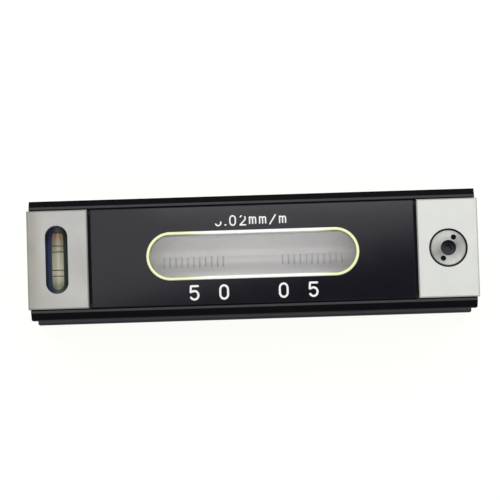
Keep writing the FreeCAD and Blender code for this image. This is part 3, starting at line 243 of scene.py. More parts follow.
@dataclass(frozen=True)
class EnamelledIron(Finish):
    """Grey cast iron, stove enamelled black, with its base and V groove ground bare.

    The enamel is close to matt on the machined bevels and flange sides. In the side recesses the
    cast skin shows through it as soft lumps that catch the light. The narrow lands beside the cover
    are painted a lighter grey and the base flange a slate grey, as painted reflection in place of
    the enamel's gloss.

    Attributes:
        worn: Second black, in patches where hands have rubbed it.
        land_reflection: Lighter grey of the lands, a painted reflection.
        land_rise: Heights between which the casting becomes a land.
        land_reach: The same from the bar's middle, past the dark inner corner.
        slate_reflection: Slate grey of the base flange, a painted reflection.
        slate_reflection_patchy: Second slate of that painted reflection, in patches.
        foot: Heights between which the casting becomes the base flange.
        patch: Size of the patches.
        bare: Colour of the ground iron.
        bare_shade: Colour between the grinding lines.
        bare_foot: Heights between which faces that look down become bare.
        downward: How far down a face has to look for that, 0 level to -1 straight down.
        flank: Distances from the bar's middle between which the recesses begin.
        under_rail: Heights between which the recesses begin, under the top flange.
        skin_grain: Size of the cast skin's lumps.
        skin_depth: How deep they are.
        peel_grain: Size of the enamel's ripples.
        peel_depth: How deep they are.
        grind_pitch: Spacing of the grinding lines, which is drawn 3 times too coarse to show.
        grind_depth: How deep they are.
        grind_stretch: How the lines run: long along the bar, short across it and up.
        gloss: Weight of the enamel's gloss on machined faces and on the cast skin.
        gloss_roughness: How soft that gloss is.
    """

    worn: str = "#0e0e11"
    # Painted reflection: the lands and the base flange get lighter greys in place of gloss.
    land_reflection: str = "#3d3d40"
    land_rise: Span = (39.2, 39.3)
    land_reach: Span = (17.0, 17.15)
    slate_reflection: str = "#36383e"
    slate_reflection_patchy: str = "#303238"
    foot: Span = (11.0, 10.5)
    patch: float = 9.0
    bare: str = "#a3a29e"
    bare_shade: str = "#7d7c79"
    bare_foot: Span = (6.0, 5.5)
    downward: Span = (-0.3, -0.4)
    flank: Span = (19.9, 19.2)
    under_rail: Span = (37.0, 36.4)
    skin_grain: float = 1.0
    skin_depth: float = 0.1
    peel_grain: float = 0.7
    peel_depth: float = 0.006
    grind_pitch: float = 0.3
    grind_depth: float = 0.01
    grind_stretch: tuple[float, float, float] = (0.02, 1.0, 0.3)
    gloss: Span = (0.06, 0.55)
    gloss_roughness: float = 0.24

    def paint(self, tree: Tree, place: Socket, across: Socket) -> Socket:
        """Builds the enamel's colour, with the painted reflection on its lands and its base flange.

        Args:
            tree: The material's node tree.
            place: The surface point in millimetres.
            across: The point with its distance from the bar's middle in place of Y.

        Returns:
            The colour's socket.
        """
        clouds = {"Vector": place, "Scale": 1 / self.patch, "Detail": 3.0, "Roughness": 0.6}
        patches = add(tree, "TexNoise", clouds)[0]
        high = zone(tree, place, Axis.Z, *self.land_rise)
        outer = zone(tree, across, Axis.Y, *self.land_reach)
        land_reflection = add(tree, "Math", {0: high, 1: outer}, operation="MULTIPLY")[0]
        foot = zone(tree, place, Axis.Z, *self.foot)
        patched = (
            {SHARE: patches, UNDER: self.colour, OVER: self.worn},
            {SHARE: patches, UNDER: self.slate_reflection, OVER: self.slate_reflection_patchy},
        )
        tone, painted_light = (add(tree, "Mix", colours, data_type="RGBA")[MIXED] for colours in patched)
        # Lays the base flange's slate and the lands' grey, both painted reflection, over the black.
        for share, over in ((foot, painted_light), (land_reflection, self.land_reflection)):
            colours = {SHARE: share, UNDER: tone, OVER: over}
            tone = add(tree, "Mix", colours, data_type="RGBA")[MIXED]
        return tone

    def surface(self, tree: Tree, place: Socket) -> Socket:
        """Builds the enamel over the cast skin and the bare ground base.

        Args:
            tree: The material's node tree.
            place: The surface point in millimetres.

        Returns:
            The shader's socket.
        """
        split = add(tree, "SeparateXYZ", {0: place})
        side = add(tree, "Math", {0: split["Y"]}, operation="ABSOLUTE")[0]
        across = add(tree, "CombineXYZ", {"X": split["X"], "Y": side, "Z": split["Z"]})[0]
        down = zone(tree, add(tree, "TexCoord")["Normal"], Axis.Z, *self.downward)
        low = zone(tree, place, Axis.Z, *self.bare_foot)
        bare = add(tree, "Math", {0: down, 1: low}, operation="MULTIPLY")[0]
        flank = zone(tree, across, Axis.Y, *self.flank)
        under = zone(tree, place, Axis.Z, *self.under_rail)
        raw = add(tree, "Math", {0: flank, 1: under}, operation="MULTIPLY")[0]
        drawn = add(tree, "Mapping", {"Vector": place, "Scale": self.grind_stretch})[0]
        grinding = {"Vector": drawn, "Scale": 1 / self.grind_pitch, "Detail": 3.0}
        lines = add(tree, "TexNoise", grinding)[0]
        iron = {SHARE: lines, UNDER: self.bare_shade, OVER: self.bare}
        skin = {"Vector": place, "Scale": 1 / self.skin_grain, "Detail": 3.0, "Roughness": 0.55}
        lumps = {0: add(tree, "TexNoise", skin)[0], 1: raw}
        peel = {"Vector": place, "Scale": 1 / self.peel_grain, "Detail": 2.0}
        reliefs = (
            (add(tree, "Math", lumps, operation="MULTIPLY")[0], self.skin_depth),
            (add(tree, "TexNoise", peel)[0], self.peel_depth),
            (add(tree, "Math", {0: lines, 1: bare}, operation="MULTIPLY")[0], self.grind_depth),
        )
        relief: dict[str | int, object] = {}
        for height, depth in reliefs:
            bump = add(tree, "Bump", {"Height": height, "Distance": depth * MM, **relief})[0]
            relief = {"Normal": bump}
        machined, cast = self.gloss
        gloss = add(tree, "MapRange", {"Value": raw, "To Min": machined, "To Max": cast})[0]
        painted = add(tree, "MapRange", {"Value": bare, "To Min": 1.0, "To Max": 0.0})[0]
        colours = {
            SHARE: bare,
            UNDER: self.paint(tree, place, across),
            OVER: add(tree, "Mix", iron, data_type="RGBA")[MIXED],
        }
        inputs = {
            "Base Color": add(tree, "Mix", colours, data_type="RGBA")[MIXED],
            "Metallic": bare,
            "Roughness": self.roughness,
            "Specular IOR Level": 0.0,
            "Coat Weight": add(tree, "Math", {0: gloss, 1: painted}, operation="MULTIPLY")[0],
            "Coat Roughness": self.gloss_roughness,
            "Coat Normal": relief["Normal"],
            **relief,
        }
        return add(tree, "BsdfPrincipled", inputs)[0]


@dataclass(frozen=True)
class Lacquer(Finish):
    """Black lacquer sprayed on a metal plate and rubbed: nearly flat, with a soft sheen.

    Attributes:
        tint: Second colour, which clouds the first by a little.
        cloud: Size of the clouds.
        spread: What the clouds take from the roughness and add to it.
        grain: Size of the spray's ripples.
        depth: How deep the ripples are.
        sheen: Specular level, low because the lacquer's flattening agent dulls it.
        edge: Heights between which the plate's face becomes its edge. The edges and the tongues
            are thinly coated and dull.
    """

    tint: str = "#15131d"
    cloud: float = 14.0
    spread: Span = (-0.02, 0.03)
    grain: float = 0.45
    depth: float = 0.0008
    sheen: float = 0.3
    edge: Span = (39.38, 39.32)

    def surface(self, tree: Tree, place: Socket) -> Socket:
        """Builds the lacquer's clouded colour and its fine ripples.

        Args:
            tree: The material's node tree.
            place: The surface point in millimetres.

        Returns:
            The shader's socket.
        """
        clouds = add(tree, "TexNoise", {"Vector": place, "Scale": 1 / self.cloud, "Detail": 4.0})[0]
        least, most = (self.roughness + change for change in self.spread)
        rough = add(tree, "MapRange", {"Value": clouds, "To Min": least, "To Max": most})[0]
        edge = zone(tree, place, Axis.Z, *self.edge)
        colours = {SHARE: clouds, UNDER: self.colour, OVER: self.tint}
        inputs = {
            "Base Color": add(tree, "Mix", colours, data_type="RGBA")[MIXED],
            "Roughness": add(tree, "Math", {0: rough, 1: edge}, operation="ADD")[0],
            "Specular IOR Level": self.sheen,
            "Normal": grained(tree, place, self.grain, self.depth, detail=3.0),
        }
        return add(tree, "BsdfPrincipled", inputs)[0]


@dataclass(frozen=True)
class Metal(Finish):
    """A bare or plated metal with the relief of the tool that made its surface.

    Attributes:
        shade: Second colour, where the first is duller.
        toolmark: Which tool made the surface.
        pitch: Size of the marks: grit, line spacing or thread spacing. Grit, grinding lines and
            turning lines are drawn about 3 times too coarse to show.
        depth: How deep they are.
        stretch: How long ground lines are along the bar, as the share of detail that they keep.
        centre: The turning axis across X and Y, for turned work and for what is round it.
        cloud: Size of the patches that change the colour and the roughness.
        spread: How much the patches change the roughness, each way.
        recess_shade: Colour of the painted shade in a recess.
        sunk: Height where the painted shade begins, and where it is full.
        sunk_radius: How far from the centre that goes.
        inner_shade: Radii between which a turned face goes from the shade colour to the main
            colour, a painted shade that darkens it towards its middle.
        brushing: How much the turned lines stretch the gloss across them, 0 to 1.
        end_colour: Colour that the metal goes to along one end.
        end_span: Where along the bar it begins and is full.
    """

    shade: str = "#8c8c8a"
    toolmark: Toolmark = Toolmark.POLISHED
    pitch: float = 0.3
    depth: float = 0.004
    stretch: float = 0.03
    centre: Span = (0.0, 0.0)
    cloud: float = 6.0
    spread: float = 0.06
    recess_shade: str = "#171717"
    sunk: Span = (-1.0, -2.0)
    sunk_radius: float = 1000.0
    inner_shade: Span = (0.0, 0.0)
    brushing: float = 0.0
    end_colour: str = "#808080"
    end_span: Span = (1000.0, 1001.0)

    def outward(self, tree: Tree, place: Socket) -> Socket:
        """Finds the level vector from the centre to a point.

        Args:
            tree: The material's node tree.
            place: The surface point in millimetres.

        Returns:
            The vector's socket, in millimetres.
        """
        from_centre = (-self.centre[0], -self.centre[1], 0.0)
        inputs = {0: place, 1: (1.0, 1.0, 0.0), 2: from_centre}
        return add(tree, "VectorMath", inputs, operation="MULTIPLY_ADD")[0]

    def radius(self, tree: Tree, place: Socket) -> Socket:
        """Measures how far a point is from the centre.

        Args:
            tree: The material's node tree.
            place: The surface point in millimetres.

        Returns:
            The distance's socket, in millimetres.
        """
        return add(tree, "VectorMath", {0: self.outward(tree, place)}, operation="LENGTH")["Value"]

    def height(self, tree: Tree, place: Socket) -> Socket:
        """Builds the height of the toolmarks.

        Args:
            tree: The material's node tree.
            place: The surface point in millimetres.

        Returns:
            The height's socket.
        """
        if self.toolmark in (Toolmark.TURNED, Toolmark.THREADED):
            threaded = self.toolmark is Toolmark.THREADED
            upward = add(tree, "SeparateXYZ", {0: place})["Z"]
            along = upward if threaded else self.radius(tree, place)
            turns = {0: along, 1: 2 * math.pi / self.pitch}
            angle = add(tree, "Math", turns, operation="MULTIPLY")[0]
            return add(tree, "Math", {0: angle}, operation="SINE")[0]
        along_bar = self.stretch if self.toolmark is Toolmark.GROUND else 1.0
        spread = add(tree, "Mapping", {"Vector": place, "Scale": (along_bar, 1.0, 1.0)})[0]
        marks = {"Vector": spread, "Scale": 1 / self.pitch, "Detail": 3.0, "Roughness": 0.6}
        return add(tree, "TexNoise", marks)[0]

    def tone(self, tree: Tree, place: Socket, patches: Socket) -> Socket:
        """Builds the metal's colour, with painted shade towards a turned face's middle, a darker
        and warmer end and painted shade in its recesses.

        Args:
            tree: The material's node tree.
            place: The surface point in millimetres.
            patches: Where the metal is brighter and where it is duller.

        Returns:
            The colour's socket.
        """
        radius = self.radius(tree, place)
        # Colour changes towards one end along the bar.
        turned = zone(tree, place, Axis.X, *self.end_span)
        uneven = add(tree, "Math", {0: turned, 1: patches}, operation="MULTIPLY")[0]
        # Painted shade in recesses: darker under a height, within a radius of the centre.
        deep = zone(tree, place, Axis.Z, *self.sunk)
        near = add(tree, "Math", {0: radius, 1: self.sunk_radius}, operation="LESS_THAN")[0]
        shaded_recess = add(tree, "Math", {0: deep, 1: near}, operation="MULTIPLY")[0]
        colours = {SHARE: patches, UNDER: self.shade, OVER: self.colour}
        tone = add(tree, "Mix", colours, data_type="RGBA")[MIXED]
        # Painted shade: the turned face darker towards its middle.
        if self.inner_shade[1] > 0:
            rim = {"Value": radius, "From Min": self.inner_shade[0], "From Max": self.inner_shade[1]}
            outer = add(tree, "MapRange", rim, interpolation_type="SMOOTHSTEP")[0]
            colours = {SHARE: outer, UNDER: self.shade, OVER: tone}
            tone = add(tree, "Mix", colours, data_type="RGBA")[MIXED]
        for share, over in ((uneven, self.end_colour), (shaded_recess, self.recess_shade)):
            colours = {SHARE: share, UNDER: tone, OVER: over}
            tone = add(tree, "Mix", colours, data_type="RGBA")[MIXED]
        return tone

    def surface(self, tree: Tree, place: Socket) -> Socket:
        """Builds the metal with patches, toolmarks and a little change of roughness.

        Args:
            tree: The material's node tree.
            place: The surface point in millimetres.

        Returns:
            The shader's socket.
        """
        cloud = {"Vector": place, "Scale": 1 / self.cloud, "Detail": 4.0}
        patches = add(tree, "TexNoise", cloud)[0]
        least, most = self.roughness - self.spread, self.roughness + self.spread
        marks = {"Height": self.height(tree, place), "Distance": self.depth * MM}
        rough = {"Value": patches, "To Min": least, "To Max": most}
        inputs = {
            "Base Color": self.tone(tree, place, patches),
            "Metallic": 1.0,
            "Roughness": add(tree, "MapRange", rough)[0],
            "Anisotropic": self.brushing,
            "Normal": add(tree, "Bump", marks)[0],
        }
        if self.brushing > 0:
            outward = {0: self.outward(tree, place)}
            inputs["Tangent"] = add(tree, "VectorMath", outward, operation="NORMALIZE")[0]
        return add(tree, "BsdfPrincipled", inputs)[0]


@dataclass(frozen=True)
class MouldedRim(Finish):
    """Pale nylon, injection moulded: satin, white in the middle and yellowed at its round ends.

    Attributes:
        ior: The nylon's index of refraction.
        aged: Colour of the yellowed ends.
        edge: Olive painted shade in the corner inside the ring's ends.
        straight: Half the length of the ring's straight sides.
        corner: Distances from the ring's middle line where the olive begins and is full.
        left: Where the left end's yellow begins and is full.
        right: The same at the right end.
        grain: Size of the mould's spark-eroded texture, drawn twice too coarse to show.
        depth: How deep it is.
    """

    ior: float = 1.53
    aged: str = "#e0e2b4"
    edge: str = "#7d7f4c"
    straight: float = 20.0
    corner: Span = (8.0, 7.6)
    left: Span = (-14.0, -24.0)
    right: Span = (20.0, 29.0)
    grain: float = 0.25
    depth: float = 0.004

    def surface(self, tree: Tree, place: Socket) -> Socket:
        """Builds the aged colour, the painted shade in its ends' corner and the fine moulded
        texture.

        Args:
            tree: The material's node tree.
            place: The surface point in millimetres.

        Returns:
            The shader's socket.
        """
        sides = {i: zone(tree, place, Axis.X, *s) for i, s in enumerate((self.left, self.right))}
        ends = add(tree, "Math", sides, operation="MAXIMUM")[0]
        split = add(tree, "SeparateXYZ", {0: place})
        along = add(tree, "Math", {0: split["X"]}, operation="ABSOLUTE")[0]
        past = add(tree, "Math", {0: along, 1: self.straight}, operation="SUBTRACT")[0]
        beyond = add(tree, "Math", {0: past, 1: 0.0}, operation="MAXIMUM")[0]
        flat = add(tree, "CombineXYZ", {"X": beyond, "Y": split["Y"]})[0]
        middle = add(tree, "VectorMath", {0: flat}, operation="LENGTH")["Value"]
        radial = add(tree, "CombineXYZ", {"X": middle})[0]
        inside = zone(tree, radial, Axis.X, *self.corner)
        # Painted shade: olive in the inner corner at the ring's ends.
        painted_light = add(tree, "Math", {0: inside, 1: ends}, operation="MULTIPLY")[0]
        unshaded = {SHARE: ends, UNDER: self.colour, OVER: self.aged}
        colours = {
            SHARE: painted_light,
            UNDER: add(tree, "Mix", unshaded, data_type="RGBA")[MIXED],
            OVER: self.edge,
        }
        inputs = {
            "Base Color": add(tree, "Mix", colours, data_type="RGBA")[MIXED],
            "Roughness": self.roughness,
            "IOR": self.ior,
            "Normal": grained(tree, place, self.grain, self.depth, detail=2.0),
        }
        return add(tree, "BsdfPrincipled", inputs)[0]


@dataclass(frozen=True)
class Clear(Finish):
    """A clear pane, tube or liquid: it shows what is behind it and mirrors more at its edges.

    Attributes:
        ior: Index of refraction, which sets how much it mirrors when looked at straight.
        edge: How much it mirrors when looked at along its face.
        steepness: Power of the rise between the two.
        wet_under: Height under which its faces are wet, so that they hardly mirror.
        shore: Height over which that ends.
        wisp: Size of the faint wisps in its tint.
    """

    ior: float = 1.47
    edge: float = 0.6
    steepness: float = 5.0
    wet_under: float = -1.0
    shore: float = 0.5
    wisp: float = 7.0

    def surface(self, tree: Tree, place: Socket) -> Socket:
        """Builds the see-through surface, which mirrors more at its edges.

        Args:
            tree: The material's node tree.
            place: The surface point in millimetres.

        Returns:
            The shader's socket.
        """
        wisps = add(tree, "TexNoise", {"Vector": place, "Scale": 1 / self.wisp, "Detail": 3.0})[0]
        colours = {SHARE: wisps, UNDER: self.colour, OVER: WHITE}
        tint = add(tree, "Mix", colours, data_type="RGBA")[MIXED]
        gloss = {"Base Color": WHITE, "Metallic": 1.0, "Roughness": self.roughness}
        straight = ((self.ior - 1) / (self.ior + 1)) ** 2
        facing = add(tree, "LayerWeight", {"Blend": 0.5})["Facing"]
        steep = add(tree, "Math", {0: facing, 1: self.steepness}, operation="POWER")[0]
        rise = {"Value": steep, "To Min": straight, "To Max": self.edge}
        shares = {
            0: add(tree, "MapRange", rise)[0],
            1: zone(tree, place, Axis.Z, self.wet_under, self.wet_under + self.shore),
        }
        inputs = {
            0: add(tree, "Math", shares, operation="MULTIPLY")[0],
            1: add(tree, "BsdfTransparent", {"Color": tint})[0],
            2: add(tree, "BsdfPrincipled", gloss)[0],
        }
        return add(tree, "MixShader", inputs)[0]


@dataclass(frozen=True)
class Plain(Finish):
    """A painted, printed, moulded or cast surface with fine grain and patches of a second colour.

    Attributes:
        shade: The second colour.
        cloud: Size of its patches.
        grain: Size of the surface's grain.
        depth: How deep the grain is.
    """

    shade: str = "#808080"
    cloud: float = 5.0
    grain: float = 0.3
    depth: float = 0.004

    def tone(self, tree: Tree, place: Socket) -> Socket:
        """Builds the colour.

        Args:
            tree: The material's node tree.
            place: The surface point in millimetres.

        Returns:
            The colour's socket.
        """
        cloud = {"Vector": place, "Scale": 1 / self.cloud, "Detail": 3.0}
        patches = add(tree, "TexNoise", cloud)[0]
        colours = {SHARE: patches, UNDER: self.colour, OVER: self.shade}
        return add(tree, "Mix", colours, data_type="RGBA")[MIXED]

    def surface(self, tree: Tree, place: Socket) -> Socket:
        """Builds the colour and the grain.

        Args:
            tree: The material's node tree.
            place: The surface point in millimetres.

        Returns:
            The shader's socket.
        """
        inputs = {
            "Base Color": self.tone(tree, place),
            "Roughness": self.roughness,
            "Normal": grained(tree, place, self.grain, self.depth, detail=3.0),
        }
        return add(tree, "BsdfPrincipled", inputs)[0]


@dataclass(frozen=True)
class TwoEnded(Plain):
    """A plain surface whose colour changes along an axis, from one end's colour to the other's.

    Attributes:
        axis: The axis along which it changes.
        far: Colour past the high end.
        far_span: Where the high end's colour begins and is full.
        near: Colour past the low end.
        near_span: Where the low end's colour begins and is full.
    """

    axis: Axis = Axis.Y
    far: str = "#808080"
    far_span: Span = (0.0, 1.0)
    near: str = "#808080"
    near_span: Span = (0.0, -1.0)

    def tone(self, tree: Tree, place: Socket) -> Socket:
        """Builds the colour along the axis.

        Args:
            tree: The material's node tree.
            place: The surface point in millimetres.

        Returns:
            The colour's socket.
        """
        tone: Socket | str = self.colour
        for end, span in ((self.far, self.far_span), (self.near, self.near_span)):
            colours = {SHARE: zone(tree, place, self.axis, *span), UNDER: tone, OVER: end}
            tone = add(tree, "Mix", colours, data_type="RGBA")[MIXED]
        return tone


@dataclass
class Assembly:
    """A sub-assembly of the level, which dresses its own pieces of the frame.

    Attributes:
        nodes: The frame's pieces by name.
    """

    nodes: dict[str, bpy.types.Object]

    def dress(self, finish: Finish, *names: str) -> None:
        """Gives pieces of the frame a finish.

        Args:
            finish: The finish.
            names: The pieces.
        """
        for name in names:
            for holder in self.nodes[name].material_slots:
                holder.material = material(finish)
            LOG.info("%s in %s", name, finish.label)

    def build(self) -> None:
        """Dresses the sub-assembly and builds what the frame doesn't have."""
        raise NotImplementedError


def piece(name: str, mesh: Mesh, finish: Finish, body: str) -> None:
    """Makes a mesh piece that rides on a body of the frame.

    Args:
        name: The piece's name.
        mesh: Its corners, in metres in the bar's frame, and its faces, as numbers of corners.
        finish: Its finish.
        body: The body it moves with.
    """
    points, faces = mesh
    shape = bpy.data.meshes.new(name)
    shape.from_pydata([tuple(point) for point in points], [], faces)
    shape.validate()
    shape.materials.append(material(finish))
    for polygon in shape.polygons:
        polygon.use_smooth = True
    made = bpy.data.objects.new(name, shape)
    bpy.context.scene.collection.objects.link(made)
    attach(made, body)
    LOG.info("%s: %d faces, on %s", name, len(faces), body)


def loft(strips: list[list[list[Vector]]]) -> Mesh:
    """Joins cross-sections into closed strips.

    Args:
        strips: For each strip its cross-sections in order, which have as many corners each.

    Returns:
        The corners and the faces.
    """
    points: list[Vector] = []
    faces: list[tuple[int, ...]] = []
    for rings in strips:
        base, size = len(points), len(rings[0])
        end = base + (len(rings) - 1) * size
        points += [point for ring in rings for point in ring]
        for here in range(base, end, size):
            for k in range(size):
                n = (k + 1) % size
                faces.append((here + k, here + size + k, here + size + n, here + n))
        faces.append(tuple(range(base, base + size)))
        faces.append(tuple(reversed(range(end, end + size))))
    return points, faces


@dataclass
class Hoops:
    """Fine printed lines that run round a vial, each a thin curved strip with square edges.

    Attributes:
        axis: The vial's direction, X or Y.
        centre: A point on the vial's axis, in metres.
        radius: The glass tube's outer radius, in metres.
        width: Width of a line, in metres.
        thickness: Thickness of its paint, in metres.
        bite: How far the paint reaches into the glass, as a share of its thickness.
        steps: How many flat pieces make one line.
    """

    axis: Axis
    centre: Vector
    radius: float
    width: float
    thickness: float = 0.03 * MM
    bite: float = 0.2
    steps: int = 14

    def corner(self, along: float, angle: float, radius: float) -> Vector:
        """Places a corner.

        Args:
            along: Distance from the centre along the vial.
            angle: Angle from straight up, towards +Y or +X.
            radius: Distance from the axis.

        Returns:
            The corner in metres.
        """
        side, up = radius * math.sin(angle), radius * math.cos(angle)
        if self.axis is Axis.X:
            return self.centre + Vector((along, side, up))
        return self.centre + Vector((side, along, up))

    def mesh(self, places: list[tuple[float, float, float]]) -> Mesh:
        """Builds all the lines of a vial.

        Args:
            places: For each line its distance along the vial and its first and last angle.

        Returns:
            The corners and the faces.
        """
        half = self.width / 2
        inner = self.radius - self.bite * self.thickness
        outer = self.radius + self.thickness
        section = ((-half, outer), (half, outer), (half, inner), (-half, inner))
        strips = []
        for along, first, last in places:
            angles = [first + (last - first) * k / self.steps for k in range(self.steps + 1)]
            strips.append(
                [[self.corner(along + side, angle, r) for side, r in section] for angle in angles]
            )
        return loft(strips)


@dataclass
class BarBody(Assembly):
    """The cast-iron bar.

    Attributes:
        enamel: Close to matt black, so that only the lands and the base flange, lighter as painted
            reflection, and the lumps of the cast skin stand out from it.
    """

    enamel: Finish = EnamelledIron("stove_enamel_on_cast_iron", "#060608", 0.6)

    def build(self) -> None:
        """Dresses the casting."""
        self.dress(self.enamel, "body_casting")


@dataclass
class CoverAndWindow(Assembly):
    """The cover panel, the ring round its window and the clear pane.

    Attributes:
        lacquer: Smooth black that mirrors the studio faintly, from grey at the back to black.
        rim: Satin white nylon, yellowed at its ends, the brightest line of the level.
        rim_width: Width of the ring.
        corner_shade: How far from the ring's inner edge the olive painted shade begins and is full.
        pane: Clear acrylic with the light haze of old scratches.
    """

    lacquer: Finish = Lacquer("black_lacquer_on_cover_plate", "#101014", 0.07)
    rim: MouldedRim = MouldedRim("pale_nylon_moulded", "#eaebe6", 0.38)
    rim_width: float = 1.15
    corner_shade: Span = (0.4, 0.1)
    pane: Finish = Clear("clear_acrylic_pane", "#fcfcfc", 0.12, ior=1.49)

    def build(self) -> None:
        """Dresses the panel, the ring and the pane."""
        self.dress(self.lacquer, "cover_panel")
        low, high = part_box("window_bezel")
        straight = ((high.x - low.x) - (high.y - low.y)) / 2 / MM
        inner = (high.y - low.y) / 2 / MM - self.rim_width
        corner = (inner + self.corner_shade[0], inner + self.corner_shade[1])
        self.dress(replace(self.rim, straight=straight, corner=corner), "window_bezel")
        self.dress(self.pane, "window_lens")


@dataclass
class EndCaps(Assembly):
    """The two silver caps and the screws through their skirts.

    Attributes:
        left: Satin chrome over a blasted face: an even grey, darker and browner towards its outer
            end.
            Its grey is painted darker than the right cap's, as painted shade.
        right: The same chrome, painted lighter than the left cap's, as painted light.
        well: How far under the right cap's top the painted shade in the lock ring's well begins
            and is full.
        well_reach: How far past the ring that painted shade goes.
        screws: Zinc plate over turned steel, a little shinier than the caps.
    """

    # The caps are one chrome: the left one's darker grey is painted shade, the right one's lighter
    # grey painted light.
    left: Finish = Metal(
        "satin_chrome_on_left_cap",
        "#a6a6a6",
        0.46,
        shade="#8f8d89",
        toolmark=Toolmark.BLASTED,
        depth=0.006,
        cloud=13.0,
        # Darker and browner towards the cap's outer end.
        end_colour="#6f6a59",
        end_span=(-69.5, -75.5),
    )
    right: Metal = Metal(
        "satin_chrome_on_right_cap", "#b8b9b6", 0.46, shade="#b2b3b0", toolmark=Toolmark.BLASTED
    )
    well: Span = (0.15, 0.45)
    well_reach: float = 0.8
    screws: Finish = Metal(
        "zinc_plated_steel_turned", "#9fa0a0", 0.34, shade="#7f8080", pitch=0.4, depth=0.003
    )

    def build(self) -> None:
        """Dresses the caps and their screws, with painted shade in the lock ring's well."""
        low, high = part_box("adjuster_lock_ring")
        centre = (low + high) / 2 / MM
        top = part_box("adjuster_cap")[1].z / MM
        # Painted shade in the well between the cap and the lock ring.
        right = replace(
            self.right,
            centre=(centre.x, centre.y),
            sunk=(top - self.well[0], top - self.well[1]),
            sunk_radius=(high.x - low.x) / 2 / MM + self.well_reach,
        )
        self.dress(self.left, "cross_vial_cap")
        self.dress(right, "adjuster_cap")
        self.dress(self.screws, "left_cap_screws", "right_cap_screws")


@dataclass
class CrossVial(Assembly):
    """The small vial in the left cap, its holder and its four lines.

    Attributes:
        holder: Dark lacquered carrier, painted a lighter blue on its left as painted reflection,
            and a lighter green-grey on its right.
        glass: Drawn tube, clear with bright edges. Its index is below glass's 1.47, because it
            stands in a dark holder that leaves little to mirror.
        spirit: Its filling, faintly yellow, which shows the bubble by its rim.
        backing: Card behind the tube, which warms its far end and greens its near end.
        plaster: Chalky white, with coarse lumps.
        stopper: Fused ends of the tube, which glint.
        ink: Brown fired lines, matt against the glass.
        line_offsets: Where the lines are along the vial, from its middle.
        line_reach: How far a line goes round the tube to each side.
        line_width: Width of a line, drawn about twice too wide to show.
    """

    # Painted reflection: the holder's left is lighter blue where its flank would catch the light.
    holder: Finish = TwoEnded(
        "blue_black_lacquered_holder",
        "#272c3c",
        0.32,
        axis=Axis.X,
        far="#3c453f",
        far_span=(-67.0, -64.0),
        near="#465274",
        near_span=(-67.0, -69.5),
    )
    glass: Finish = Clear("drawn_glass_tube", "#fdfefd", 0.06, ior=1.36)
    spirit: Finish = Clear("vial_spirit", "#fdfdf9", 0.06, ior=1.1, edge=0.3)
    backing: Finish = TwoEnded(
        "pale_card_backing",
        "#f3ecdf",
        0.7,
        far="#fdcfb2",
        far_span=(5.5, 9.0),
        near="#a9ad87",
        near_span=(-5.5, -9.0),
    )
    plaster: Finish = Plain("cast_plaster", "#ddd8cb", 0.85, shade="#c9c3b4", depth=0.03)
    stopper: Finish = Clear("fused_glass_stopper", "#eef2f0", 0.05)
    ink: Finish = Plain("fired_brown_line", "#5a4a26", 0.5, shade="#6b5a30", grain=0.1)
    line_offsets: tuple[float, ...] = (-5.1, -3.1, 3.1, 5.1)
    line_reach: float = math.radians(43)
    line_width: float = 0.36

    def build(self) -> None:
        """Dresses the vial and prints its lines."""
        self.dress(self.holder, "cross_vial_holder")
        self.dress(self.glass, "cross_vial_tube")
        self.dress(self.spirit, "cross_vial_spirit")
        self.dress(self.backing, "cross_vial_backing")
        self.dress(self.plaster, "cross_vial_plaster")
        self.dress(self.stopper, "cross_vial_stoppers")
        low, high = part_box("cross_vial_tube")
        hoops = Hoops(Axis.Y, (low + high) / 2, (high.x - low.x) / 2, self.line_width * MM)
        places = [(offset * MM, -self.line_reach, self.line_reach) for offset in self.line_offsets]
        piece("cross_vial_lines", hoops.mesh(places), self.ink, "level_body")


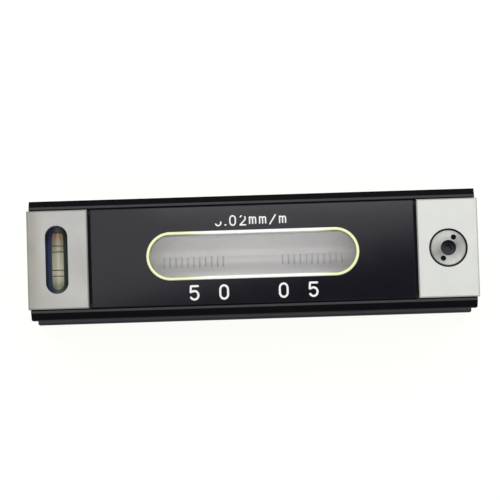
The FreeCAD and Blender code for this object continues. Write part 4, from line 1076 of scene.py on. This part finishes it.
@dataclass
class MainVial(Assembly):
    """The carrier sleeve with the long vial, its backing and its graduations.

    Attributes:
        plugs: Nickel plate over ground steel, with lines along the bar.
        sleeve_paint: White stove paint, which keeps the inside of the window light.
        glass: Drawn tube, clear with a soft streak of light along it. Its index is below glass's
            1.47, which keeps the streak as faint as it looks under the pane.
        spirit: Its filling, colourless, which shows the bubble by its rim.
        backing: White enamelled strip, the light grey that the window shows.
        plaster: Chalky white, with coarse lumps.
        stopper: Fused ends of the tube, which glint.
        steel: Blackened steel, worn to a dull grey.
        ink: Fired lines, matt, rose on the left of the middle and grey elsewhere.
        first_line: First graduation's distance from the middle, each way.
        pitch: Spacing of the graduations.
        lines: How many there are on each side.
        line_span: First and last angle of a line from straight up, towards +Y.
        line_width: Width of a line, drawn about twice too wide to show.
    """

    plugs: Finish = Metal(
        "nickel_plated_plug", "#c6c5c2", 0.34, shade="#b3b2ae", toolmark=Toolmark.GROUND, pitch=0.25
    )
    sleeve_paint: Finish = Plain("white_stoved_tube", "#d6d7d4", 0.4, shade="#c9cac6", cloud=9.0)
    glass: Clear = Clear("drawn_glass_tube_long", "#fefefe", 0.08, ior=1.25)
    spirit: Finish = Clear("vial_spirit_long", "#fefefe", 0.06, ior=1.1, edge=0.3)
    backing: Finish = Plain("white_enamelled_strip", "#f8f6f6", 0.45, shade="#f1efef", cloud=9.0)
    plaster: Finish = Plain("cast_plaster_seats", "#ddd8cb", 0.85, shade="#c9c3b4", depth=0.03)
    stopper: Finish = Clear("fused_glass_stopper_long", "#eef2f0", 0.05)
    steel: Finish = Metal("blackened_steel_screw", "#77787a", 0.35, shade="#5f6062", pitch=0.2)
    ink: Finish = TwoEnded(
        "fired_graduation_line",
        "#9b838c",
        0.5,
        axis=Axis.X,
        far="#98989d",
        far_span=(-2.0, 2.0),
        near="#959497",
        near_span=(-18.0, -22.0),
    )
    first_line: float = 10.0
    pitch: float = 2.0
    lines: int = 11
    line_span: Span = (math.radians(-30), math.radians(0))
    line_width: float = 0.5

    def build(self) -> None:
        """Dresses the carrier and prints the graduations on its vial."""
        self.dress(self.sleeve_paint, "carrier_sleeve")
        self.dress(self.plugs, "carrier_pivot_plug", "carrier_tongue_plug")
        self.dress(self.steel, "carrier_set_screws")
        low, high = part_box("main_vial_tube")
        axis_height = (low.z + high.z) / 2 / MM
        self.dress(replace(self.glass, wet_under=axis_height), "main_vial_tube")
        self.dress(self.spirit, "main_vial_spirit")
        self.dress(self.stopper, "main_vial_stoppers")
        self.dress(self.plaster, "vial_seat_left", "vial_seat_right")
        self.dress(self.backing, "vial_reflector")
        hoops = Hoops(Axis.X, (low + high) / 2, (high.z - low.z) / 2, self.line_width * MM)
        places = [
            (side * (self.first_line + self.pitch * count) * MM, *self.line_span)
            for side in (-1, 1)
            for count in range(self.lines)
        ]
        piece("main_vial_lines", hoops.mesh(places), self.ink, "vial_carrier")


@dataclass
class Pivot(Assembly):
    """The fork, its screws and the pin that the vial carrier tilts on.

    Attributes:
        brass: Milled brass, warm and softly shiny.
        pin: Ground steel, close to a mirror.
        screws: Zinc plate, pale and softly shiny.
    """

    brass: Finish = Metal("brass_milled", "#c8a45a", 0.38, shade="#b59250")
    pin: Finish = Metal("ground_steel_pin", "#b9babb", 0.22, shade="#9c9d9f", pitch=0.15)
    screws: Finish = Metal("zinc_plated_screw", "#c2c3c3", 0.3, shade="#a3a4a4")

    def build(self) -> None:
        """Dresses the pivot."""
        self.dress(self.brass, "pivot_bracket")
        self.dress(self.pin, "pivot_pin")
        self.dress(self.screws, "pivot_bracket_screws")


@dataclass
class Adjuster(Assembly):
    """The lock ring in the right cap and the screw, ball and spring under it.

    Attributes:
        ring: Zinc plate over a turned face, whose lines draw the light into a bright fan above and
            below the middle, with painted shade that darkens the face towards the middle.
        hole_shade: How far under the ring's top the painted shade in its holes begins and is full.
        screw: Blackened steel with its thread as relief.
        ball: Bearing steel, a mirror.
        spring: Drawn wire, satin grey.
        end_coil: How much of the spring's length at each end lies flat on its seat. Not used.
    """

    ring: Metal = Metal(
        "zinc_plated_ring_turned",
        "#abaca9",
        0.36,
        shade="#8a8b8a",
        toolmark=Toolmark.TURNED,
        pitch=0.5,
        depth=0.0015,
        cloud=3.0,
        inner_shade=(2.2, 5.0),
        brushing=0.85,
    )
    hole_shade: Span = (0.12, 0.5)
    screw: Finish = Metal(
        "blackened_steel_thread",
        "#4a4b4c",
        0.28,
        shade="#2b2c2e",
        toolmark=Toolmark.THREADED,
        pitch=0.5,
        depth=0.05,
    )
    ball: Finish = Metal("polished_bearing_steel", "#c9cacb", 0.08, shade="#c0c1c2", depth=0.0005)
    spring: Finish = Metal("spring_steel_wire", "#8f9092", 0.32, shade="#7b7c7e", pitch=0.2)
    end_coil: float = 0.8

    def build(self) -> None:
        """Dresses the adjuster, with the lock ring's turned marks about its own axis."""
        low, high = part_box("adjuster_lock_ring")
        centre, top = (low + high) / 2 / MM, high.z / MM
        # Painted shade in the ring's holes and bore, below this height.
        sunk = (top - self.hole_shade[0], top - self.hole_shade[1])
        ring = replace(self.ring, centre=(centre.x, centre.y), sunk=sunk)
        self.dress(ring, "adjuster_lock_ring")
        self.dress(self.screw, "adjusting_screw")
        self.dress(self.ball, "thrust_ball")
        self.dress(self.spring, "return_spring")
        self.load_spring()

    def load_spring(self) -> None:
        """Makes a copy of the spring in the bar's frame and hides the original."""
        spring = self.nodes["return_spring"]
        wire = bpy.data.objects.new("return_spring_wire", spring.data.copy())
        wire.matrix_world = spring.matrix_world.copy()
        bpy.context.scene.collection.objects.link(wire)
        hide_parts("return_spring")
        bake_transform(wire)
        LOG.info("return_spring_wire: bends between level_body and vial_carrier")


@dataclass
class Bead:
    """A line of thick paint on the cover: a low rounded bead with round ends.

    Attributes:
        half_width: Half the stroke's width.
        height: How far it stands above the cover.
        sunk: How far its underside is below the cover's face.
        tip: Width of the very end, as a share of the stroke's.
        sides: How many flat pieces make its rounded top.
        end_steps: How many rings make each round end.
    """

    half_width: float
    height: float = 0.05
    sunk: float = 0.02
    tip: float = 0.02
    sides: int = 6
    end_steps: int = 4

    def rings(self, path: Path) -> list[tuple[Vector, Vector, float]]:
        """Finds where the bead's cross-sections stand.

        Args:
            path: The stroke's middle line in millimetres.

        Returns:
            For each cross-section its centre, its direction across and its width's share.
        """
        middle = [Vector(point) for point in path]
        found = []
        for i, centre in enumerate(middle):
            before, after = middle[max(i - 1, 0)], middle[min(i + 1, len(middle) - 1)]
            found.append((centre, (after - before).normalized(), 1.0))
        turns = [math.pi / 2 * k / self.end_steps for k in range(self.end_steps)]
        ends = []
        for (centre, along, _), way in ((found[0], -1), (found[-1], 1)):
            reach = along * self.half_width * way
            ends.append([(centre + reach * math.cos(t), along, math.sin(t)) for t in turns])
        rings = ends[0] + found + ends[1][::-1]
        return [(c, Vector((-a.y, a.x)), max(share, self.tip)) for c, a, share in rings]

    def mesh(self, paths: list[Path], floor: float) -> Mesh:
        """Builds the beads of several strokes.

        Args:
            paths: The strokes' middle lines in millimetres.
            floor: Height of the cover's face, in metres.

        Returns:
            The corners, in metres, and the faces.
        """
        turns = [math.pi * k / self.sides for k in range(self.sides + 1)]
        top = [(math.cos(turn), self.height * math.sin(turn)) for turn in turns]
        lift = Vector((0, 0, floor))
        strips = []
        for path in paths:
            sections = []
            for centre, across, share in self.rings(path):
                reach = across * self.half_width * share
                crown = [(side, up * math.sqrt(share)) for side, up in top]
                profile = [(1, -self.sunk), *crown, (-1, -self.sunk)]
                spots = [(centre + reach * side, up) for side, up in profile]
                sections.append([Vector((spot.x, spot.y, up)) * MM + lift for spot, up in spots])
            strips.append(sections)
        return loft(strips)


def arc(
    centre: tuple[float, float],
    radii: tuple[float, float],
    degrees: tuple[float, float],
    steps: int = 18,
) -> Path:
    """Samples an elliptical arc.

    Args:
        centre: Its centre.
        radii: Its radii along X and Y.
        degrees: Its first and last angle.
        steps: How many pieces it is cut into.

    Returns:
        The points.
    """
    first, last = (math.radians(d) for d in degrees)
    angles = [first + (last - first) * k / steps for k in range(steps + 1)]
    return [
        (centre[0] + radii[0] * math.cos(a), centre[1] + radii[1] * math.sin(a)) for a in angles
    ]


GLYPHS: dict[Print, dict[str, list[Path]]] = {
    Print.WHOLE: {
        "0": [
            arc((0.0, 0.67), (0.29, 0.33), (0, 180))
            + arc((0.0, 0.33), (0.29, 0.33), (180, 360))
            + [(0.29, 0.67)]
        ],
        ".": [[(-0.04, 0.05), (0.04, 0.05)]],
        "2": [
            arc((0.0, 0.70), (0.28, 0.30), (165, -35)) + [(-0.28, 0.02)],
            [(-0.28, 0.0), (0.31, 0.0)],
        ],
        "m": [
            [(-0.32, 0.13), (-0.32, 0.8)],
            arc((-0.16, 0.64), (0.16, 0.15), (180, 0), 10) + [(0.0, 0.13)],
            arc((0.16, 0.64), (0.16, 0.15), (180, 0), 10) + [(0.32, 0.13)],
        ],
        "/": [[(-0.3, 0.02), (0.3, 0.96)]],
        "5": [
            [(0.28, 1.0), (-0.25, 1.0)],
            [(-0.25, 1.0), (-0.28, 0.56)],
            [(-0.28, 0.56), *arc((0.0, 0.32), (0.3, 0.32), (125, -150))],
        ],
    },
    Print.RUBBED: {
        "0": [arc((0.0, 0.30), (0.29, 0.30), (205, 375))],
        "2": [
            arc((0.0, 0.70), (0.28, 0.30), (150, 115), 4),
            arc((0.0, 0.70), (0.28, 0.30), (30, -35)) + [(-0.28, 0.02)],
            [(-0.28, 0.0), (0.31, 0.0)],
        ],
    },
}
"""Strokes of each character, in a cell one unit high that is centred on 0, on a baseline at 0."""


@dataclass
class Lettering(Assembly):
    """The print on the cover: the vial's value over the window and scale numbers under it.

    Attributes:
        paint: Filled white print, matt and slightly uneven.
        value: The text over the window.
        value_height: Height of its digits.
        value_advance: Distance from one character to the next.
        value_middle: Where its middle is along the bar.
        value_baseline: Its baseline across the bar.
        value_stroke: Width of its strokes.
        point_width: Room that a point takes, as a share of another character's.
        rubbed: Which of the value's characters are partly rubbed off.
        numbers: The scale numbers with their places along the bar.
        number_height: Height of the numbers.
        number_baseline: Their baseline across the bar.
        number_stroke: Width of their strokes.
    """

    paint: Finish = Plain(
        "white_filled_print", "#e6e6e4", 0.5, shade="#d3d3d1", cloud=2.0, grain=0.15
    )
    value: str = "0.02mm/m"
    value_height: float = 3.15
    value_advance: float = 3.36
    value_middle: float = -0.5
    value_baseline: float = 9.85
    value_stroke: float = 0.48
    point_width: float = 0.46
    rubbed: tuple[int, ...] = (0, 3)
    numbers: tuple[tuple[str, float], ...] = (("5", -20.0), ("0", -10.0), ("0", 10.0), ("5", 20.0))
    number_height: float = 4.5
    number_baseline: float = -14.8
    number_stroke: float = 0.7

    def value_lines(self) -> list[Path]:
        """Sets the value's characters side by side, some of them rubbed.

        Returns:
            Their strokes in millimetres.
        """
        widths = [self.value_advance * (self.point_width if c == "." else 1.0) for c in self.value]
        left = self.value_middle - sum(widths) / 2
        placed: list[Path] = []
        for i, character in enumerate(self.value):
            state = Print.RUBBED if i in self.rubbed else Print.WHOLE
            middle = left + sum(widths[:i]) + widths[i] / 2
            spot = (middle, self.value_baseline)
            placed += self.drawn(GLYPHS[state][character], self.value_height, spot)
        return placed

    @staticmethod
    def drawn(strokes: list[Path], height: float, spot: tuple[float, float]) -> list[Path]:
        """Puts a character's strokes on the cover.

        Args:
            strokes: The strokes in their cell.
            height: Height of the character.
            spot: Where its middle is along the bar, and its baseline across it.

        Returns:
            The strokes in millimetres.
        """
        return [[(spot[0] + height * x, spot[1] + height * y) for x, y in s] for s in strokes]

    def build(self) -> None:
        """Paints the value and the numbers on the cover."""
        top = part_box("cover_panel")[1].z
        numbers: list[Path] = []
        for text, middle in self.numbers:
            spot = (middle, self.number_baseline)
            numbers += self.drawn(GLYPHS[Print.WHOLE][text], self.number_height, spot)
        value = Bead(self.value_stroke / 2).mesh(self.value_lines(), top)
        scale = Bead(self.number_stroke / 2).mesh(numbers, top)
        piece("cover_value_print", value, self.paint, "level_body")
        piece("cover_scale_numbers", scale, self.paint, "level_body")


@dataclass
class SoftBox:
    """A soft rectangular lamp.

    Attributes:
        name: Its name.
        place: Where it hangs, in metres.
        size: Its width and length, in metres.
        radiance: How bright its face is, where 1 shows as white.
        pitch: Its turn about X away from facing straight down, in degrees.
        tilt: The same about Y.
        roll: Its turn about Z, in degrees.
    """

    name: str
    place: tuple[float, float, float]
    size: tuple[float, float]
    radiance: float
    pitch: float = 0.0
    tilt: float = 0.0
    roll: float = 0.0

    def build(self) -> None:
        """Hangs the lamp."""
        lamp = bpy.data.lights.new(self.name, "AREA")
        lamp.shape = "RECTANGLE"
        lamp.size, lamp.size_y = self.size
        lamp.energy = self.radiance * math.pi * self.size[0] * self.size[1]
        made = bpy.data.objects.new(self.name, lamp)
        made.location = self.place
        made.rotation_euler = [math.radians(a) for a in (self.pitch, self.tilt, self.roll)]
        made.visible_camera = False
        bpy.context.scene.collection.objects.link(made)
        LOG.info("lamp %s at %s", self.name, self.place)


@dataclass
class Studio:
    """The pale floor, the sky, the lamps and the camera.

    Attributes:
        camera_place: Where the camera stands, in metres.
        camera_turn: Its Euler angles, in degrees.
        camera_angle: Its angle of view, in degrees.
        camera_range: Nearest and farthest distance that it sees, in metres.
        floor_half: Half the floor's side, in metres.
        background: Colour that the camera sees behind the level.
        ceiling: Grey that gloss sees straight up, where a studio is dark.
        ceiling_span: Height of the direction, 0 level to 1 straight up, where the white of the
            background begins to fall and where the ceiling's grey is full.
        sky_level: How bright the sky is as a light.
        floor_level: How much of the floor's white is its own, so that the shadow stays faint.
        floor_paint: Share of its white that the floor's paint has, which the lamps light.
        floor_bounce: Colour of the floor for the light that it throws back on the level.
        clear_layers: How many clear faces a ray may pass, enough for the pane, the tubes and the
            spirit one behind another.
        lamps: The lamps.
    """

    camera_place: tuple[float, float, float] = (0.000828, -0.069812, 0.999267)
    camera_turn: tuple[float, float, float] = (4.232, 0.234, -1.763)
    camera_angle: float = 9.974
    camera_range: Span = (0.05, 20.0)
    floor_half: float = 1.5
    background: str = "#fefffa"
    ceiling: str = "#38383c"
    ceiling_span: Span = (0.93, 0.985)
    sky_level: float = 0.6
    floor_level: float = 0.91
    floor_paint: float = 0.14
    floor_bounce: str = "#d8d8d8"
    clear_layers: int = 32
    lamps: list[SoftBox] = field(
        default_factory=lambda: [
            SoftBox("key_softbox", (-0.09, 0.358, 1.5), (0.8, 0.56), 1.65, roll=12.4),
            SoftBox("far_softbox", (0.035, 0.236, 1.45), (0.24, 0.18), 3.0),
            SoftBox("strip_softbox", (0.0, 0.72, 1.0), (1.5, 0.36), 5.0, pitch=-36.0),
            SoftBox("fill_softbox", (0.05, -0.62, 1.3), (1.0, 0.6), 1.6),
            SoftBox("right_softbox", (0.3, -0.02, 0.55), (0.2, 0.26), 1.0, tilt=27.0),
        ]
    )

    def seen(self, tree: Tree) -> Socket:
        """Tells camera, glossy and transmission rays from the rest.

        Args:
            tree: The node tree that asks.

        Returns:
            A socket that is 1 for those rays and 0 for the others.
        """
        ray = add(tree, "LightPath")
        through = {0: ray["Is Glossy Ray"], 1: ray["Is Transmission Ray"]}
        indirect = add(tree, "Math", through, operation="MAXIMUM")[0]
        return add(tree, "Math", {0: ray["Is Camera Ray"], 1: indirect}, operation="MAXIMUM")[0]

    def build_sky(self) -> None:
        """Lights the scene evenly and puts the pale background behind it."""
        world = bpy.data.worlds.new("studio_sky")
        world.use_nodes = True
        bpy.context.scene.world = world
        tree = world.node_tree
        tree.nodes.clear()
        direction = add(tree, "TexCoord")["Generated"]
        overhead = zone(tree, direction, Axis.Z, *self.ceiling_span)
        colours = {SHARE: overhead, UNDER: self.background, OVER: self.ceiling}
        shown = add(tree, "Mix", colours, data_type="RGBA")[MIXED]
        choice = {
            0: self.seen(tree),
            1: add(tree, "Background", {"Color": WHITE, "Strength": self.sky_level})[0],
            2: add(tree, "Background", {"Color": shown, "Strength": 1.0})[0],
        }
        add(tree, "OutputWorld", {"Surface": add(tree, "MixShader", choice)[0]})

    def build_floor(self) -> None:
        """Lays a pale floor that keeps a faint shadow of the level."""
        half = self.floor_half
        mesh = bpy.data.meshes.new("studio_floor")
        square = [(-half, -half, 0), (half, -half, 0), (half, half, 0), (-half, half, 0)]
        mesh.from_pydata(square, [], [(0, 1, 2, 3)])
        paper = bpy.data.materials.new("pale_paper_floor")
        paper.use_nodes = True
        tree = paper.node_tree
        tree.nodes.clear()
        glow = add(tree, "Emission", {"Color": self.background, "Strength": self.floor_level})[0]
        paint = tuple(self.floor_paint * c for c in linear(self.background)[:3]) + (1.0,)
        lit = add(tree, "BsdfDiffuse", {"Color": paint})[0]
        choice = {
            0: self.seen(tree),
            1: add(tree, "BsdfDiffuse", {"Color": self.floor_bounce})[0],
            2: add(tree, "AddShader", {0: glow, 1: lit})[0],
        }
        add(tree, "OutputMaterial", {"Surface": add(tree, "MixShader", choice)[0]})
        mesh.materials.append(paper)
        floor = bpy.data.objects.new("studio_floor", mesh)
        bpy.context.scene.collection.objects.link(floor)

    def build_camera(self) -> None:
        """Sets the camera at the photograph's angle of view."""
        lens = bpy.data.cameras.new("camera")
        lens.angle = math.radians(self.camera_angle)
        lens.clip_start, lens.clip_end = self.camera_range
        camera = bpy.data.objects.new("camera", lens)
        camera.location = self.camera_place
        camera.rotation_euler = [math.radians(a) for a in self.camera_turn]
        bpy.context.scene.collection.objects.link(camera)
        bpy.context.scene.camera = camera

    def build(self) -> None:
        """Builds the studio."""
        self.build_sky()
        self.build_floor()
        for lamp in self.lamps:
            lamp.build()
        self.build_camera()
        bpy.context.scene.view_settings.view_transform = "Standard"
        bpy.context.scene.cycles.transparent_max_bounces = self.clear_layers


def main() -> None:
    """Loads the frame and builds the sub-assemblies in order."""
    logging.basicConfig(level=logging.INFO, format="%(name)s: %(message)s")
    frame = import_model()
    outside = (BarBody, CoverAndWindow, EndCaps)
    inside = (CrossVial, MainVial, Pivot, Adjuster)
    for assembly in (*outside, *inside, Lettering):
        assembly(frame["nodes"]).build()
        LOG.info("built %s", assembly.__name__)
    Studio().build()


if __name__ == "__main__":
    main()
